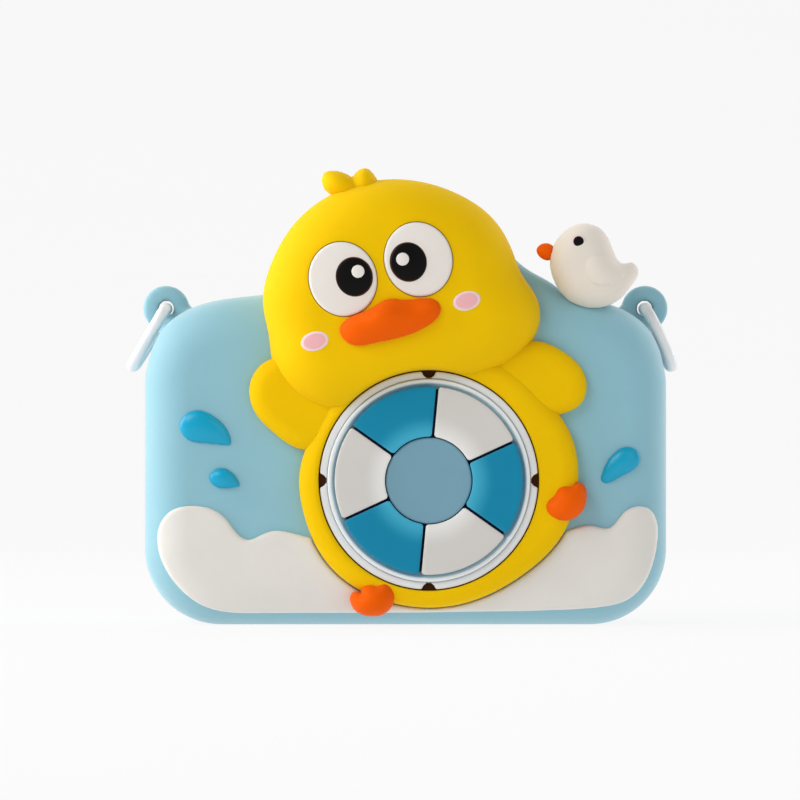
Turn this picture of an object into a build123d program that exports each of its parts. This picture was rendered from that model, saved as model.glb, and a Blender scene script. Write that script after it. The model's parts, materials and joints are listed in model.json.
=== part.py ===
"""Kids digital camera in a moulded silicone duck case, as an assembly of separate parts.

Row frame, millimetres: +X to the right as the camera is seen from the front, +Y from the front
to the back, +Z up. The origin is the centre of the flat base that the case stands on.
Front-view sketches lie on Plane.XZ, whose normal is -Y, so a plane offset is a distance
towards the front and is called a depth here: depth 18 is the plane Y = -18.
"""

import os
from math import atan2, cos, degrees, radians, sin

from build123d import *

os.makedirs("parts", exist_ok=True)

# ---- Driving dimensions -------------------------------------------------------------------
CASE_HALF_WIDTH = 49.9
CASE_TOP = 63.2
CASE_FRONT = 18.0  # depth of the case's front face
CASE_BACK = -16.0  # depth of the rear lip's outer face
CASE_CORNER = 14.5  # bottom corner radius, seen from the front
SHOULDER_FOOT = 46.0  # where each side stops being straight
FLAT_TOP_HALF = 27.0  # half of the straight stretch along the top
CASE_FRONT_ROUND = 8.0
CASE_BACK_ROUND = 4.0
LIP_WIDTH = 3.5  # how far the rear lip reaches over the camera
SKIN_GAP = 0.1  # case to camera
BEYOND = 40.0  # a depth in front of everything

BODY_HALF_WIDTH = 45.5
BODY_BOTTOM = 4.0
BODY_TOP = 58.6
BODY_CORNER = 11.0
BODY_FRONT = 14.5
BODY_BACK = -14.0
BODY_WALL = 2.0
LENS_HOLE = 5.2
BARREL_RADIUS, BARREL_FRONT = 5.1, 18.6
BARREL_BASE, BARREL_BASE_DEEP = 14.0, 4.0  # the square foot that holds the sensor board
BARREL_SEAT, BARREL_BORE = 4.4, 3.0
GLASS_RADIUS, GLASS_THICKNESS = 4.35, 0.9
FLASH_HOLE, FLASH_RADIUS, LAMP_RADIUS = 2.3, 2.25, 2.0
WELD = 0.5  # how far a boss runs into the wall it stands on
BODY_MID = (BODY_BOTTOM + BODY_TOP) / 2
BODY_HEIGHT = BODY_TOP - BODY_BOTTOM
INNER_FRONT = BODY_FRONT - BODY_WALL
INNER_BACK = BODY_BACK + BODY_WALL

LENS_X, LENS_Z = 4.4, 27.7
CASE_LENS_OPENING = 21.1
TURRET_RADIUS = 20.7
TURRET_BORE = 18.6
TURRET_LEDGE = 17.4  # bore behind the lens panel
PANEL_BACK, PANEL_FRONT = 17.6, 19.0
TURRET_FRONT = 20.4
BEZEL_INNER = 19.4
BEZEL_FRONT = 21.8
NOTCH_RADIUS, NOTCH_DEPTH = 1.25, 1.5
CAP_RADIUS = 19.2
CAP_PLUG_RADIUS, CAP_PLUG_BORE = 18.4, 17.0
CAP_WALL = 1.1
CAP_RIM_INNER = 17.95
CAP_BACK = 19.3
CAP_SEAT = 20.5  # back of the cap's flange
CAP_FLOOR = 21.2
CAP_RIM_FRONT = 22.4
SEGMENT_OUTER, SEGMENT_INNER = 17.8, 8.35
SEGMENT_FRONT = 24.8
SEGMENT_GAP = 0.7
SEGMENT_START = 24.7  # degrees, one edge of a white segment
CAP_CENTRE_RADIUS = 8.15
CAP_CENTRE_FRONT = 22.8

HUMP_BACK, HUMP_FRONT = -6.0, 12.0
HEAD_BACK, HEAD_FRONT = 9.0, 28.0
HEAD_ROUND = 5.5
ROOT = 10.0  # depth, inside the case, where each shape on its front starts
BEAK_THICKNESS = 3.4
BELLY_FRONT = 22.0
WING_FRONT = 21.2
CREST_BACK, CREST_FRONT = 13.0, 21.0
FOAM_THICKNESS = 1.2
FOOT_FRONT = 24.4
DROP_THICKNESS = 1.4
EYE_THICKNESS = 0.8
PUPIL_THICKNESS = 0.5
GLINT_THICKNESS = 0.3
FACE_TILT = 15.0  # degrees, the duck's head leans to its right
EYE_HALF = (6.4, 7.05)
PUPIL_HALF = (3.55, 3.8)
CHEEK_HALF, CHEEK_THICKNESS = (2.6, 1.75), 0.4
GLINT_RADIUS = 1.25
BIRD_FRONT, BIRD_BACK, BIRD_ROUND = 20.0, 8.0, 1.1
BIRD_BEAK_BACK, BIRD_BEAK_FRONT = 12.4, 15.6
BIRD_EYE_RADIUS, BIRD_EYE_THICKNESS = 1.0, 0.3

LUG_X, LUG_Z, LUG_DEPTH = 46.2, 60.6, 1.0
LUG_RADIUS, LUG_HOLE, LUG_THICKNESS = 4.4, 1.9, 5.0
LUG_WEB = [(39, 60.5), (43.2, 63.5), (49.5, 57.9), (46, 52)]  # joins the lug to the shoulder
RING_WIRE = 1.1
RING_LENGTH = 12.6  # bar to far side, along the wire's centre
RING_WIDTH = 14.0  # along Y, between the wire's centres
RING_CORNER = 3.4
RING_HANG = 28.0  # degrees from straight down, outwards, at rest

PAD_X, PAD_Z, PAD_PITCH = -29.0, 34.0, 8.8
OUTER_X, OUTER_Z = 6.0, 16.0  # the four outer keys, from the pad's centre
KEY_RADIUS, SMALL_KEY_RADIUS, OK_RADIUS = 3.2, 2.6, 3.6
KEY_GAP = 0.15
KEY_TRAVEL = 0.6
KEY_PROUD = 1.2
SHUTTER_X, SHUTTER_TOP, SHUTTER_TRAVEL = -29.5, 61.9, 1.0
SHUTTER_LENGTH, SHUTTER_WIDTH = 10.4, 7.4
CLOSING_GAP = 0.15  # left between a pressed key and its switch
FLANGE_LIP = 0.8  # how far a key's flange reaches past its hole
SKIN_CLEARANCE = 0.5  # between the case and the shutter button
WELL_DEPTH = 8.0  # deeper than any wall that a well is cut through

BOARD_FRONT, BOARD_BACK = -5.0, -6.2
PILOT_FRONT = 10.0  # how far forward every screw's pilot hole runs
SWITCH_HEIGHT, SWITCH_ACTUATOR, SWITCH_PIN = 1.6, 0.7, 0.8

WINDOW_X, WINDOW_Z, WINDOW_WIDTH, WINDOW_HEIGHT = 13.0, 29.75, 51.0, 35.5
WINDOW_CORNER = 2.5
PANEL_WIDTH, PANEL_HEIGHT, PANEL_THICKNESS = 47.0, 34.0, 2.5
MASK_THICKNESS = 0.5
PICTURE_WIDTH, PICTURE_HEIGHT = 41.0, 31.0
REAR_LENS_X, REAR_LENS_Z, REAR_LENS_RADIUS, REAR_LENS_BORE = WINDOW_X, 51.3, 2.6, 1.9
MICROPHONE_X, MICROPHONE_HOLE = WINDOW_X + 10, 0.5
SPEAKER_X, SPEAKER_Z = -28.0, 9.7
SLOT_PITCH, SLOT_COUNT, SPEAKER_SLOT = 2.8, 6, (3.2, 1.2)
REAR_GLASS_FRONT = -13.6
SENSOR_BOARD_THICKNESS = 1.0
SCREW_X, SCREW_LOW, SCREW_HIGH = 40.3, 9.8, 52.8
BOSS_RADIUS, BOARD_BOSS_RADIUS = 2.6, 2.2
BOSS_GAP = 0.05  # left between a board boss and the board
SCREW_PILOT, BOARD_SCREW_PILOT = 1.2, 0.95
SCREW_PASSAGE, SCREW_RECESS, RECESS_DEPTH = 1.3, 2.1, 1.6
SCREW_HEAD, SCREW_SHANK, SCREW_TIP = 1.9, 1.15, 8.0
BOARD_SCREW_HEAD, BOARD_SCREW_SHANK, BOARD_SCREW_TIP = 1.7, 0.9, 2.0

PORT_LOW, PORT_HIGH = 18.0, 43.0
PORT_DEPTH, CARD_DEPTH, PORT_WIDTH = -3.4, -3.9, 9.6
PORT_OUTER_X, COVER_THICKNESS, COVER_GAP = 49.7, 1.5, 0.2
USB_Z, CARD_Z = 24.0, 35.0
USB_WIDTH, USB_HEIGHT, USB_WALL = 9.0, 3.2, 0.3
USB_BACK_X, USB_LENGTH = 35.4, 8.0
CARD_BACK_X, CARD_LENGTH = 30.0, 13.4

# ---- Outlines, as points in the front view (x, z) ------------------------------------------
CASE_SHOULDER = [(49.3, 50.0), (48.0, 54.0), (45.9, 57.2), (43.0, 59.5), (39.3, 61.2), (34.5, 62.3)]
HUMP = [(30, 57), (27.9, 65), (24, 67.6), (20.8, 70.2), (18, 74), (12, 79.5), (4, 83), (-6, 83), (-14, 79.5),
        (-20, 72), (-22, 65), (-21, 57)]
HEAD = [(-1, 84.9), (10, 82.1), (17, 77), (20.3, 71.3), (22.2, 66.7), (25.1, 62), (25.2, 56.5), (20, 49.9),
        (10, 46), (-4, 41.8), (-15.2, 40.7), (-22, 44.4), (-25.3, 50), (-26, 55), (-27.1, 61.5),
        (-25.5, 69), (-20.5, 77.2), (-12, 83)]
CREST = [(-13.2, 81), (-15.7, 83.8), (-15.2, 86), (-12.3, 86.3), (-10.1, 84.9), (-9, 86.5), (-7.2, 86.9),
         (-5.9, 84.8), (-7, 81)]
BELLY = [(-20.2, 28), (-19.6, 22.5), (-14, 11), (-2, 4.3), (10, 4.1), (22, 9.6), (30, 17.7), (32.8, 28.5),
         (31, 37.2), (26, 43.7), (19.6, 49.4), (4, 53), (-9, 49), (-17.6, 37)]
WING_LEFT = [(-20, 50), (-25.6, 50.7), (-29.2, 47.1), (-29, 41.4), (-24.8, 36.5), (-19.8, 33.6), (-12, 36)]
WING_RIGHT = [(16, 50), (24.3, 54.2), (30, 52.1), (34.2, 47.2), (33.5, 42.5), (29.4, 40.2), (22, 40)]
BEAK = [(-12.4, 56), (-9.5, 58.8), (-5.5, 61.1), (-2, 61.9), (3.5, 62.1), (6.7, 60.6), (5, 57.6), (-3.5, 54.6),
        (-10.5, 53.7)]
FOOT_RIGHT = [(26.3, 22.4), (28.6, 20.1), (32, 20.9), (34.2, 24.2), (33.2, 27), (30.9, 26.6), (28.6, 26.2),
              (27.7, 24.5)]
FOOT_LEFT = [(-10.5, 4.6), (-8.2, 2.1), (-4.5, 2.4), (-2.2, 5.5), (-3, 8.1), (-5.3, 7.6), (-8.2, 7.8), (-9.1, 6.1)]
FOAM_TOP_LEFT = [(-47.2, 15.5), (-45.9, 20.4), (-39.7, 23), (-34, 20.9), (-30, 16.5), (-24, 18.2), (-14, 16)]
FOAM_TOP_RIGHT = [(26, 16.6), (34.5, 19.2), (38.3, 18.7), (41, 21.5), (44.3, 22.8), (47.2, 21.2), (47.9, 16)]
FOAM_BOTTOM = [(46.4, 9), (43, 5.2), (36, 3), (0, 2.4), (-36, 2.8), (-42, 5), (-46.2, 10.3)]
DROPS = [
    [(-42.9, 38), (-40.8, 40.8), (-36.8, 40.2), (-33.4, 36.2), (-34, 34.5), (-40.5, 35.3)],
    [(-37.4, 28.3), (-35.7, 30), (-32.7, 28.6), (-32, 26.6), (-36.6, 26.9)],
    [(37.2, 28.4), (38.2, 27.2), (43, 29.3), (44.6, 32.4), (42, 34), (38.8, 31.8)],
]
BIRD = [(28, 72), (27.7, 67.5), (30.3, 62.3), (36, 60.5), (41.5, 63), (44.4, 67.4), (43.3, 69.1), (41.2, 69.2),
        (38.3, 74.2), (34.3, 76.6), (30.2, 75.2)]
BIRD_BEAK = [(28.6, 72.4), (25.8, 72.6), (25, 71.5), (26.9, 69.6), (28.6, 69.6)]
BIRD_EYE = (32.85, 73.05)


# ---- Shared shapes -------------------------------------------------------------------------
def relief(outline, back, front, edge_round=0.0):
    """A closed smooth outline as a solid from depth back to depth front, its front edge rounded."""
    with BuildPart() as solid:
        with BuildSketch(Plane.XZ.offset(back)):
            with BuildLine():
                Spline(*outline, periodic=True)
            make_face()
        extrude(amount=front - back)
        if edge_round:
            fillet(solid.faces().sort_by(Axis.Y)[0].edges(), edge_round)
    return solid.part


def case_block(grow):
    """The case's outer block, larger by grow on every side."""
    side = CASE_HALF_WIDTH
    with BuildPart() as block:
        with BuildSketch(Plane.XZ.offset(CASE_BACK - grow)):
            with BuildLine():
                Line((CASE_CORNER - side, 0), (side - CASE_CORNER, 0))
                RadiusArc((side - CASE_CORNER, 0), (side, CASE_CORNER), -CASE_CORNER)
                Line((side, CASE_CORNER), (side, SHOULDER_FOOT))
                right = [(side, SHOULDER_FOOT), *CASE_SHOULDER, (FLAT_TOP_HALF, CASE_TOP)]
                Spline(*right, tangents=[(0, 1), (-1, 0)])
                Line((FLAT_TOP_HALF, CASE_TOP), (-FLAT_TOP_HALF, CASE_TOP))
                left = [(-x, z) for x, z in reversed(right)]
                Spline(*left, tangents=[(-1, 0), (0, -1)])
                Line((-side, SHOULDER_FOOT), (-side, CASE_CORNER))
                RadiusArc((-side, CASE_CORNER), (CASE_CORNER - side, 0), -CASE_CORNER)
            make_face()
            if grow:
                offset(amount=grow)
        extrude(amount=CASE_FRONT - CASE_BACK + 2 * grow)
        fillet(block.faces().sort_by(Axis.Y)[0].edges(), CASE_FRONT_ROUND + grow)
        fillet(block.faces().sort_by(Axis.Y)[-1].edges(), CASE_BACK_ROUND + grow)
    return block.part


def body_block(grow, back=BODY_BACK, front=BODY_FRONT, edge_round=1.5):
    """The camera's rounded block, larger by grow on every side in the front view."""
    with BuildPart() as block:
        with BuildSketch(Plane.XZ.offset(back)):
            with Locations((0, BODY_MID)):
                RectangleRounded(2 * (BODY_HALF_WIDTH + grow), BODY_HEIGHT + 2 * grow, BODY_CORNER + grow)
        extrude(amount=front - back)
        if edge_round:
            fillet(block.faces().sort_by(Axis.Y)[0].edges(), edge_round)
            fillet(block.faces().sort_by(Axis.Y)[-1].edges(), edge_round)
    return block.part


def disc(x, z, radius, back, front):
    """A round disc facing the front, from depth back to depth front."""
    with BuildPart() as solid:
        with BuildSketch(Plane.XZ.offset(back)):
            with Locations((x, z)):
                Circle(radius)
        extrude(amount=front - back)
    return solid.part


def tilted_disc(x, z, half_width, half_height, back, front, tilt=FACE_TILT):
    """An oval disc facing the front, its long axis turned by tilt degrees."""
    with BuildPart() as solid:
        with BuildSketch(Plane.XZ.offset(back)):
            with Locations(Location((x, z), tilt)):
                Ellipse(half_width, half_height)
        extrude(amount=front - back)
    return solid.part


def slab(x, z, width, height, back, front):
    """A rectangular block facing the front, from depth back to depth front."""
    with BuildPart() as solid:
        with BuildSketch(Plane.XZ.offset(back)):
            with Locations((x, z)):
                Rectangle(width, height)
        extrude(amount=front - back)
    return solid.part


def save(part, name):
    """Labels a finished piece and writes its STEP file."""
    part.label = name
    export_step(part, f"parts/{name}.step")


case_solid = case_block(0)
hump_solid = relief(HUMP, HUMP_BACK, HUMP_FRONT, edge_round=2.0)
head_blob = relief(HEAD, HEAD_BACK, HEAD_FRONT, edge_round=HEAD_ROUND)
lens_bore = disc(LENS_X, LENS_Z, CASE_LENS_OPENING, back=0, front=BEYOND)
screw_places = [(x, z) for x in (-SCREW_X, SCREW_X) for z in (SCREW_LOW, SCREW_HIGH)]
board_screw_places = [(x, z) for x in (-12, 30) for z in (11, 51)]

# ---- Silicone case: block, hump behind the duck's head, strap lugs and every opening --------
with BuildPart() as silicone_case:
    add(case_solid)
    add(hump_solid)
    with BuildSketch(Plane.XZ.offset(LUG_DEPTH - LUG_THICKNESS / 2)):
        for side in (-1, 1):
            with Locations((side * LUG_X, LUG_Z)):
                Circle(LUG_RADIUS)
            with BuildLine():
                Polyline(*[(side * x, z) for x, z in LUG_WEB], close=True)
            make_face()
    extrude(amount=LUG_THICKNESS)
    with BuildSketch(Plane.XZ.offset(LUG_DEPTH - LUG_THICKNESS)):
        with Locations((-LUG_X, LUG_Z), (LUG_X, LUG_Z)):
            Circle(LUG_HOLE)
    extrude(amount=2 * LUG_THICKNESS, mode=Mode.SUBTRACT)
    add(body_block(SKIN_GAP, BODY_BACK - SKIN_GAP, BODY_FRONT + SKIN_GAP), mode=Mode.SUBTRACT)
    add(body_block(-LIP_WIDTH, CASE_BACK - 1, 0, edge_round=0), mode=Mode.SUBTRACT)
    add(lens_bore, mode=Mode.SUBTRACT)
    with BuildSketch(Plane.XY.offset(BODY_TOP - 1)):
        with Locations((SHUTTER_X, 0)):
            SlotOverall(SHUTTER_LENGTH + 2 * SKIN_CLEARANCE, SHUTTER_WIDTH + 2 * SKIN_CLEARANCE)
    extrude(amount=WELL_DEPTH, mode=Mode.SUBTRACT)
    with BuildSketch(Plane.YZ.offset(BODY_HALF_WIDTH - 1)):
        with Locations((-PORT_DEPTH, (PORT_LOW + PORT_HIGH) / 2)):
            RectangleRounded(PORT_WIDTH + 2 * COVER_GAP, PORT_HIGH - PORT_LOW + 2 * COVER_GAP, 1.2)
    extrude(amount=WELL_DEPTH, mode=Mode.SUBTRACT)
save(silicone_case.part, "silicone_case")

# ---- Duck: head, crest, wings and belly ring, each moulded onto the case's front ------------
with BuildPart() as duck_head:
    add(head_blob)
    add(case_solid, mode=Mode.SUBTRACT)
    add(hump_solid, mode=Mode.SUBTRACT)
    add(lens_bore, mode=Mode.SUBTRACT)
save(duck_head.part, "duck_head")

with BuildPart() as duck_crest:
    add(relief(CREST, CREST_BACK, CREST_FRONT, edge_round=0.9))
    add(head_blob, mode=Mode.SUBTRACT)
    add(hump_solid, mode=Mode.SUBTRACT)
save(duck_crest.part, "duck_crest")

belly_blob = relief(BELLY, ROOT, BELLY_FRONT, edge_round=1.5)
with BuildPart() as duck_belly_ring:
    add(belly_blob)
    add(case_solid, mode=Mode.SUBTRACT)
    add(head_blob, mode=Mode.SUBTRACT)
    add(lens_bore, mode=Mode.SUBTRACT)
save(duck_belly_ring.part, "duck_belly_ring")

with BuildPart() as duck_wings:
    for outline in (WING_LEFT, WING_RIGHT):
        add(relief(outline, ROOT, WING_FRONT, edge_round=1.5))
    add(case_solid, mode=Mode.SUBTRACT)
    add(head_blob, mode=Mode.SUBTRACT)
    add(belly_blob, mode=Mode.SUBTRACT)
    add(lens_bore, mode=Mode.SUBTRACT)
save(duck_wings.part, "duck_wings")

# ---- Duck's face ----------------------------------------------------------------------------
beak_solid = relief(BEAK, HEAD_FRONT, HEAD_FRONT + BEAK_THICKNESS, edge_round=0.5)
save(beak_solid, "duck_beak")

EYES = {"left": (-11.8, 65.7), "right": (2.4, 69.4)}
PUPILS = {"left": (-9.7, 66.1), "right": (0.55, 68.9)}
GLINTS = {"left": (-8.95, 67.1), "right": (-0.55, 69.4)}
CHEEKS = {"left": (-17.1, 54.0), "right": (11.5, 61.6)}
pupil_back = HEAD_FRONT + EYE_THICKNESS
glint_back = pupil_back + PUPIL_THICKNESS

with BuildPart() as duck_eye_whites:
    for x, z in EYES.values():
        add(tilted_disc(x, z, *EYE_HALF, HEAD_FRONT, pupil_back))
    add(beak_solid, mode=Mode.SUBTRACT)
save(duck_eye_whites.part, "duck_eye_whites")

with BuildPart() as duck_pupils:
    for x, z in PUPILS.values():
        add(tilted_disc(x, z, *PUPIL_HALF, pupil_back, glint_back))
save(duck_pupils.part, "duck_pupils")

with BuildPart() as duck_eye_glints:
    for x, z in GLINTS.values():
        add(disc(x, z, GLINT_RADIUS, glint_back, glint_back + GLINT_THICKNESS))
save(duck_eye_glints.part, "duck_eye_glints")

with BuildPart() as duck_cheeks:
    for x, z in CHEEKS.values():
        add(tilted_disc(x, z, *CHEEK_HALF, HEAD_FRONT, HEAD_FRONT + CHEEK_THICKNESS))
save(duck_cheeks.part, "duck_cheeks")

# ---- Foam wave, feet and water drops --------------------------------------------------------
with BuildPart() as foam_wave:
    with BuildSketch(Plane.XZ):
        with BuildLine():
            Spline(*FOAM_TOP_LEFT)
            Line(FOAM_TOP_LEFT[-1], FOAM_TOP_RIGHT[0])
            Spline(*FOAM_TOP_RIGHT, *FOAM_BOTTOM, FOAM_TOP_LEFT[0])
        make_face()
    extrude(amount=BEYOND)
    add(case_block(FOAM_THICKNESS), mode=Mode.INTERSECT)
    add(case_solid, mode=Mode.SUBTRACT)
    add(belly_blob, mode=Mode.SUBTRACT)
    add(lens_bore, mode=Mode.SUBTRACT)
save(foam_wave.part, "foam_wave")

with BuildPart() as duck_feet:
    for outline in (FOOT_LEFT, FOOT_RIGHT):
        add(relief(outline, ROOT, FOOT_FRONT, edge_round=0.4))
    add(case_solid, mode=Mode.SUBTRACT)
    add(foam_wave.part, mode=Mode.SUBTRACT)
    add(belly_blob, mode=Mode.SUBTRACT)
    add(lens_bore, mode=Mode.SUBTRACT)
save(duck_feet.part, "duck_feet")

with BuildPart() as water_drops:
    for outline in DROPS:
        add(relief(outline, ROOT, CASE_FRONT + DROP_THICKNESS, edge_round=0.6))
    add(case_solid, mode=Mode.SUBTRACT)
save(water_drops.part, "water_drops")

# ---- Bird perched on the case's top front edge ----------------------------------------------
with BuildPart() as bird_body:
    add(relief(BIRD, BIRD_BACK, BIRD_FRONT, BIRD_ROUND))
    fillet(bird_body.faces().sort_by(Axis.Y)[-1].edges(), BIRD_ROUND)
    add(case_solid, mode=Mode.SUBTRACT)
    add(hump_solid, mode=Mode.SUBTRACT)
save(bird_body.part, "bird_body")

with BuildPart() as bird_beak:
    add(relief(BIRD_BEAK, BIRD_BEAK_BACK, BIRD_BEAK_FRONT, edge_round=0.4))
    add(bird_body.part, mode=Mode.SUBTRACT)
save(bird_beak.part, "bird_beak")

save(disc(*BIRD_EYE, BIRD_EYE_RADIUS, BIRD_FRONT, BIRD_FRONT + BIRD_EYE_THICKNESS), "bird_eye")

# ---- Strap rings: a D of round wire through each lug ----------------------------------------
for name, side in (("strap_ring_left", -1), ("strap_ring_right", 1)):
    outwards = side * sin(radians(RING_HANG))
    downwards = cos(radians(RING_HANG))
    hang = Plane(
        origin=(side * LUG_X, -LUG_DEPTH, LUG_Z), x_dir=(0, 1, 0), z_dir=(-downwards, 0, -outwards)
    )
    half = RING_WIDTH / 2
    with BuildPart() as strap_ring:
        with BuildLine(hang) as wire:
            FilletPolyline(
                (-half, 0), (half, 0), (half, RING_LENGTH), (-half, RING_LENGTH), radius=RING_CORNER, close=True
            )
        with BuildSketch(Plane(origin=wire.line @ 0, z_dir=wire.line % 0)):
            Circle(RING_WIRE)
        sweep()
    save(strap_ring.part, name)

# ---- Front shell: half of the camera body, with the lens turret and screw bosses -------------
with BuildPart() as front_shell:
    add(body_block(0))
    split(bisect_by=Plane.XZ, keep=Keep.TOP)
    add(body_block(-BODY_WALL, -3, INNER_FRONT), mode=Mode.SUBTRACT)
    with BuildSketch(Plane.XZ.offset(INNER_FRONT)):
        with Locations((LENS_X, LENS_Z)):
            Circle(TURRET_RADIUS)
    extrude(amount=TURRET_FRONT - INNER_FRONT)
    with BuildSketch(Plane.XZ):
        with Locations(*screw_places):
            Circle(BOSS_RADIUS)
    extrude(amount=INNER_FRONT + WELD)
    with BuildSketch(Plane.XZ.offset(BOARD_FRONT + BOSS_GAP)):
        with Locations(*board_screw_places):
            Circle(BOARD_BOSS_RADIUS)
    extrude(amount=INNER_FRONT - BOARD_FRONT)
    for radius, depth in ((LENS_HOLE, 0), (TURRET_LEDGE, BODY_FRONT), (TURRET_BORE, PANEL_BACK)):
        with BuildSketch(Plane.XZ.offset(depth)):
            with Locations((LENS_X, LENS_Z)):
                Circle(radius)
        extrude(amount=BEYOND, mode=Mode.SUBTRACT)
    with BuildSketch(Plane.XZ.offset(BOARD_BACK)):
        with Locations(*screw_places):
            Circle(SCREW_PILOT)
        with Locations(*board_screw_places):
            Circle(BOARD_SCREW_PILOT)
    extrude(amount=PILOT_FRONT - BOARD_BACK, mode=Mode.SUBTRACT)
    with BuildSketch(Plane.XY.offset(BODY_TOP - 4)):
        with Locations((SHUTTER_X, 0)):
            SlotOverall(SHUTTER_LENGTH + 2 * KEY_GAP, SHUTTER_WIDTH + 2 * KEY_GAP)
    extrude(amount=WELL_DEPTH, mode=Mode.SUBTRACT)
    with BuildSketch(Plane.XZ.offset(TURRET_FRONT - NOTCH_DEPTH)):
        with Locations((LENS_X, LENS_Z)):
            with PolarLocations(TURRET_RADIUS, 4):
                Circle(NOTCH_RADIUS)
    extrude(amount=2 * NOTCH_DEPTH, mode=Mode.SUBTRACT)
save(front_shell.part, "front_shell")

# ---- Rear shell: the other half, with the display window, key holes and sockets --------------
pad_keys = {
    "up_key": (PAD_X, PAD_Z + PAD_PITCH, KEY_RADIUS),
    "down_key": (PAD_X, PAD_Z - PAD_PITCH, KEY_RADIUS),
    "left_key": (PAD_X + PAD_PITCH, PAD_Z, KEY_RADIUS),
    "right_key": (PAD_X - PAD_PITCH, PAD_Z, KEY_RADIUS),
    "ok_key": (PAD_X, PAD_Z, OK_RADIUS),
    "power_key": (PAD_X - OUTER_X, PAD_Z + OUTER_Z, SMALL_KEY_RADIUS),
    "mode_key": (PAD_X + OUTER_X, PAD_Z + OUTER_Z, SMALL_KEY_RADIUS),
    "menu_key": (PAD_X - OUTER_X, PAD_Z - OUTER_Z, SMALL_KEY_RADIUS),
    "playback_key": (PAD_X + OUTER_X, PAD_Z - OUTER_Z, SMALL_KEY_RADIUS),
}
with BuildPart() as rear_shell:
    add(body_block(0))
    split(bisect_by=Plane.XZ, keep=Keep.BOTTOM)
    add(body_block(-BODY_WALL, INNER_BACK, 3), mode=Mode.SUBTRACT)
    with BuildSketch(Plane.XZ):
        with Locations(*screw_places):
            Circle(BOSS_RADIUS)
    extrude(amount=INNER_BACK - WELD)
    with BuildSketch(Plane.XZ):
        with Locations(*screw_places):
            Circle(SCREW_PASSAGE)
    extrude(amount=CASE_BACK, mode=Mode.SUBTRACT)
    with BuildSketch(Plane.XZ.offset(BODY_BACK + RECESS_DEPTH)):
        with Locations(*screw_places):
            Circle(SCREW_RECESS)
    extrude(amount=-2 * RECESS_DEPTH, mode=Mode.SUBTRACT)
    with BuildSketch(Plane.XZ.offset(CASE_BACK)):
        with Locations((WINDOW_X, WINDOW_Z)):
            RectangleRounded(WINDOW_WIDTH, WINDOW_HEIGHT, WINDOW_CORNER)
        for x, z, radius in pad_keys.values():
            with Locations((x, z)):
                Circle(radius + KEY_GAP)
        with Locations((REAR_LENS_X, REAR_LENS_Z)):
            Circle(REAR_LENS_RADIUS + KEY_GAP)
        with Locations((MICROPHONE_X, REAR_LENS_Z)):
            Circle(MICROPHONE_HOLE)
        with Locations((SPEAKER_X, SPEAKER_Z)):
            with GridLocations(SLOT_PITCH, 1, SLOT_COUNT, 1):
                SlotOverall(*SPEAKER_SLOT, rotation=90)
    extrude(amount=INNER_BACK - CASE_BACK + 1, mode=Mode.SUBTRACT)
    with BuildSketch(Plane.XY.offset(BODY_TOP - 4)):
        with Locations((SHUTTER_X, 0)):
            SlotOverall(SHUTTER_LENGTH + 2 * KEY_GAP, SHUTTER_WIDTH + 2 * KEY_GAP)
    extrude(amount=WELL_DEPTH, mode=Mode.SUBTRACT)
    with BuildSketch(Plane.YZ.offset(BODY_HALF_WIDTH - 4)):
        with Locations((-PORT_DEPTH, USB_Z)):
            SlotOverall(USB_WIDTH + 0.4, USB_HEIGHT + 0.4, rotation=90)
        with Locations((-CARD_DEPTH, CARD_Z)):
            Rectangle(1.6, 11.6)
    extrude(amount=WELL_DEPTH, mode=Mode.SUBTRACT)
save(rear_shell.part, "rear_shell")

# ---- Lens group ------------------------------------------------------------------------------
with BuildPart() as lens_bezel:
    with BuildSketch(Plane.XZ.offset(TURRET_FRONT)):
        with Locations((LENS_X, LENS_Z)):
            Circle(TURRET_RADIUS)
            Circle(BEZEL_INNER, mode=Mode.SUBTRACT)
            with PolarLocations(TURRET_RADIUS, 4):
                Circle(NOTCH_RADIUS, mode=Mode.SUBTRACT)
    extrude(amount=BEZEL_FRONT - TURRET_FRONT)
save(lens_bezel.part, "lens_bezel")

FLASH_Z = LENS_Z + 11.5
barrel_back = INNER_FRONT - BARREL_BASE_DEEP
with BuildPart() as lens_panel:
    with BuildSketch(Plane.XZ.offset(PANEL_BACK)):
        with Locations((LENS_X, LENS_Z)):
            Circle(TURRET_BORE - 0.05)
            Circle(BARREL_RADIUS + 0.1, mode=Mode.SUBTRACT)
        with Locations((LENS_X, FLASH_Z)):
            Circle(FLASH_HOLE, mode=Mode.SUBTRACT)
    extrude(amount=PANEL_FRONT - PANEL_BACK)
save(lens_panel.part, "lens_panel")

with BuildPart() as lens_barrel:
    add(slab(LENS_X, LENS_Z, BARREL_BASE, BARREL_BASE, barrel_back, INNER_FRONT))
    add(disc(LENS_X, LENS_Z, BARREL_RADIUS, INNER_FRONT, BARREL_FRONT))
    add(disc(LENS_X, LENS_Z, BARREL_SEAT, PANEL_BACK, BEYOND), mode=Mode.SUBTRACT)
    add(disc(LENS_X, LENS_Z, BARREL_BORE, 0, BEYOND), mode=Mode.SUBTRACT)
save(lens_barrel.part, "lens_barrel")

with BuildPart() as lens_glass:
    with BuildSketch(Plane.XZ.offset(PANEL_BACK)):
        with Locations((LENS_X, LENS_Z)):
            Circle(GLASS_RADIUS)
    extrude(amount=GLASS_THICKNESS)
    fillet(lens_glass.faces().sort_by(Axis.Y)[0].edges(), 0.4)
save(lens_glass.part, "lens_glass")

sensor_back = barrel_back - SENSOR_BOARD_THICKNESS
save(slab(LENS_X, LENS_Z, BARREL_BASE, BARREL_BASE, sensor_back, barrel_back), "image_sensor_board")
save(disc(LENS_X, FLASH_Z, FLASH_RADIUS, PANEL_BACK, PANEL_FRONT), "flash_window")
save(disc(LENS_X, FLASH_Z, LAMP_RADIUS, BODY_FRONT, PANEL_BACK), "flash_led")

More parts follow.
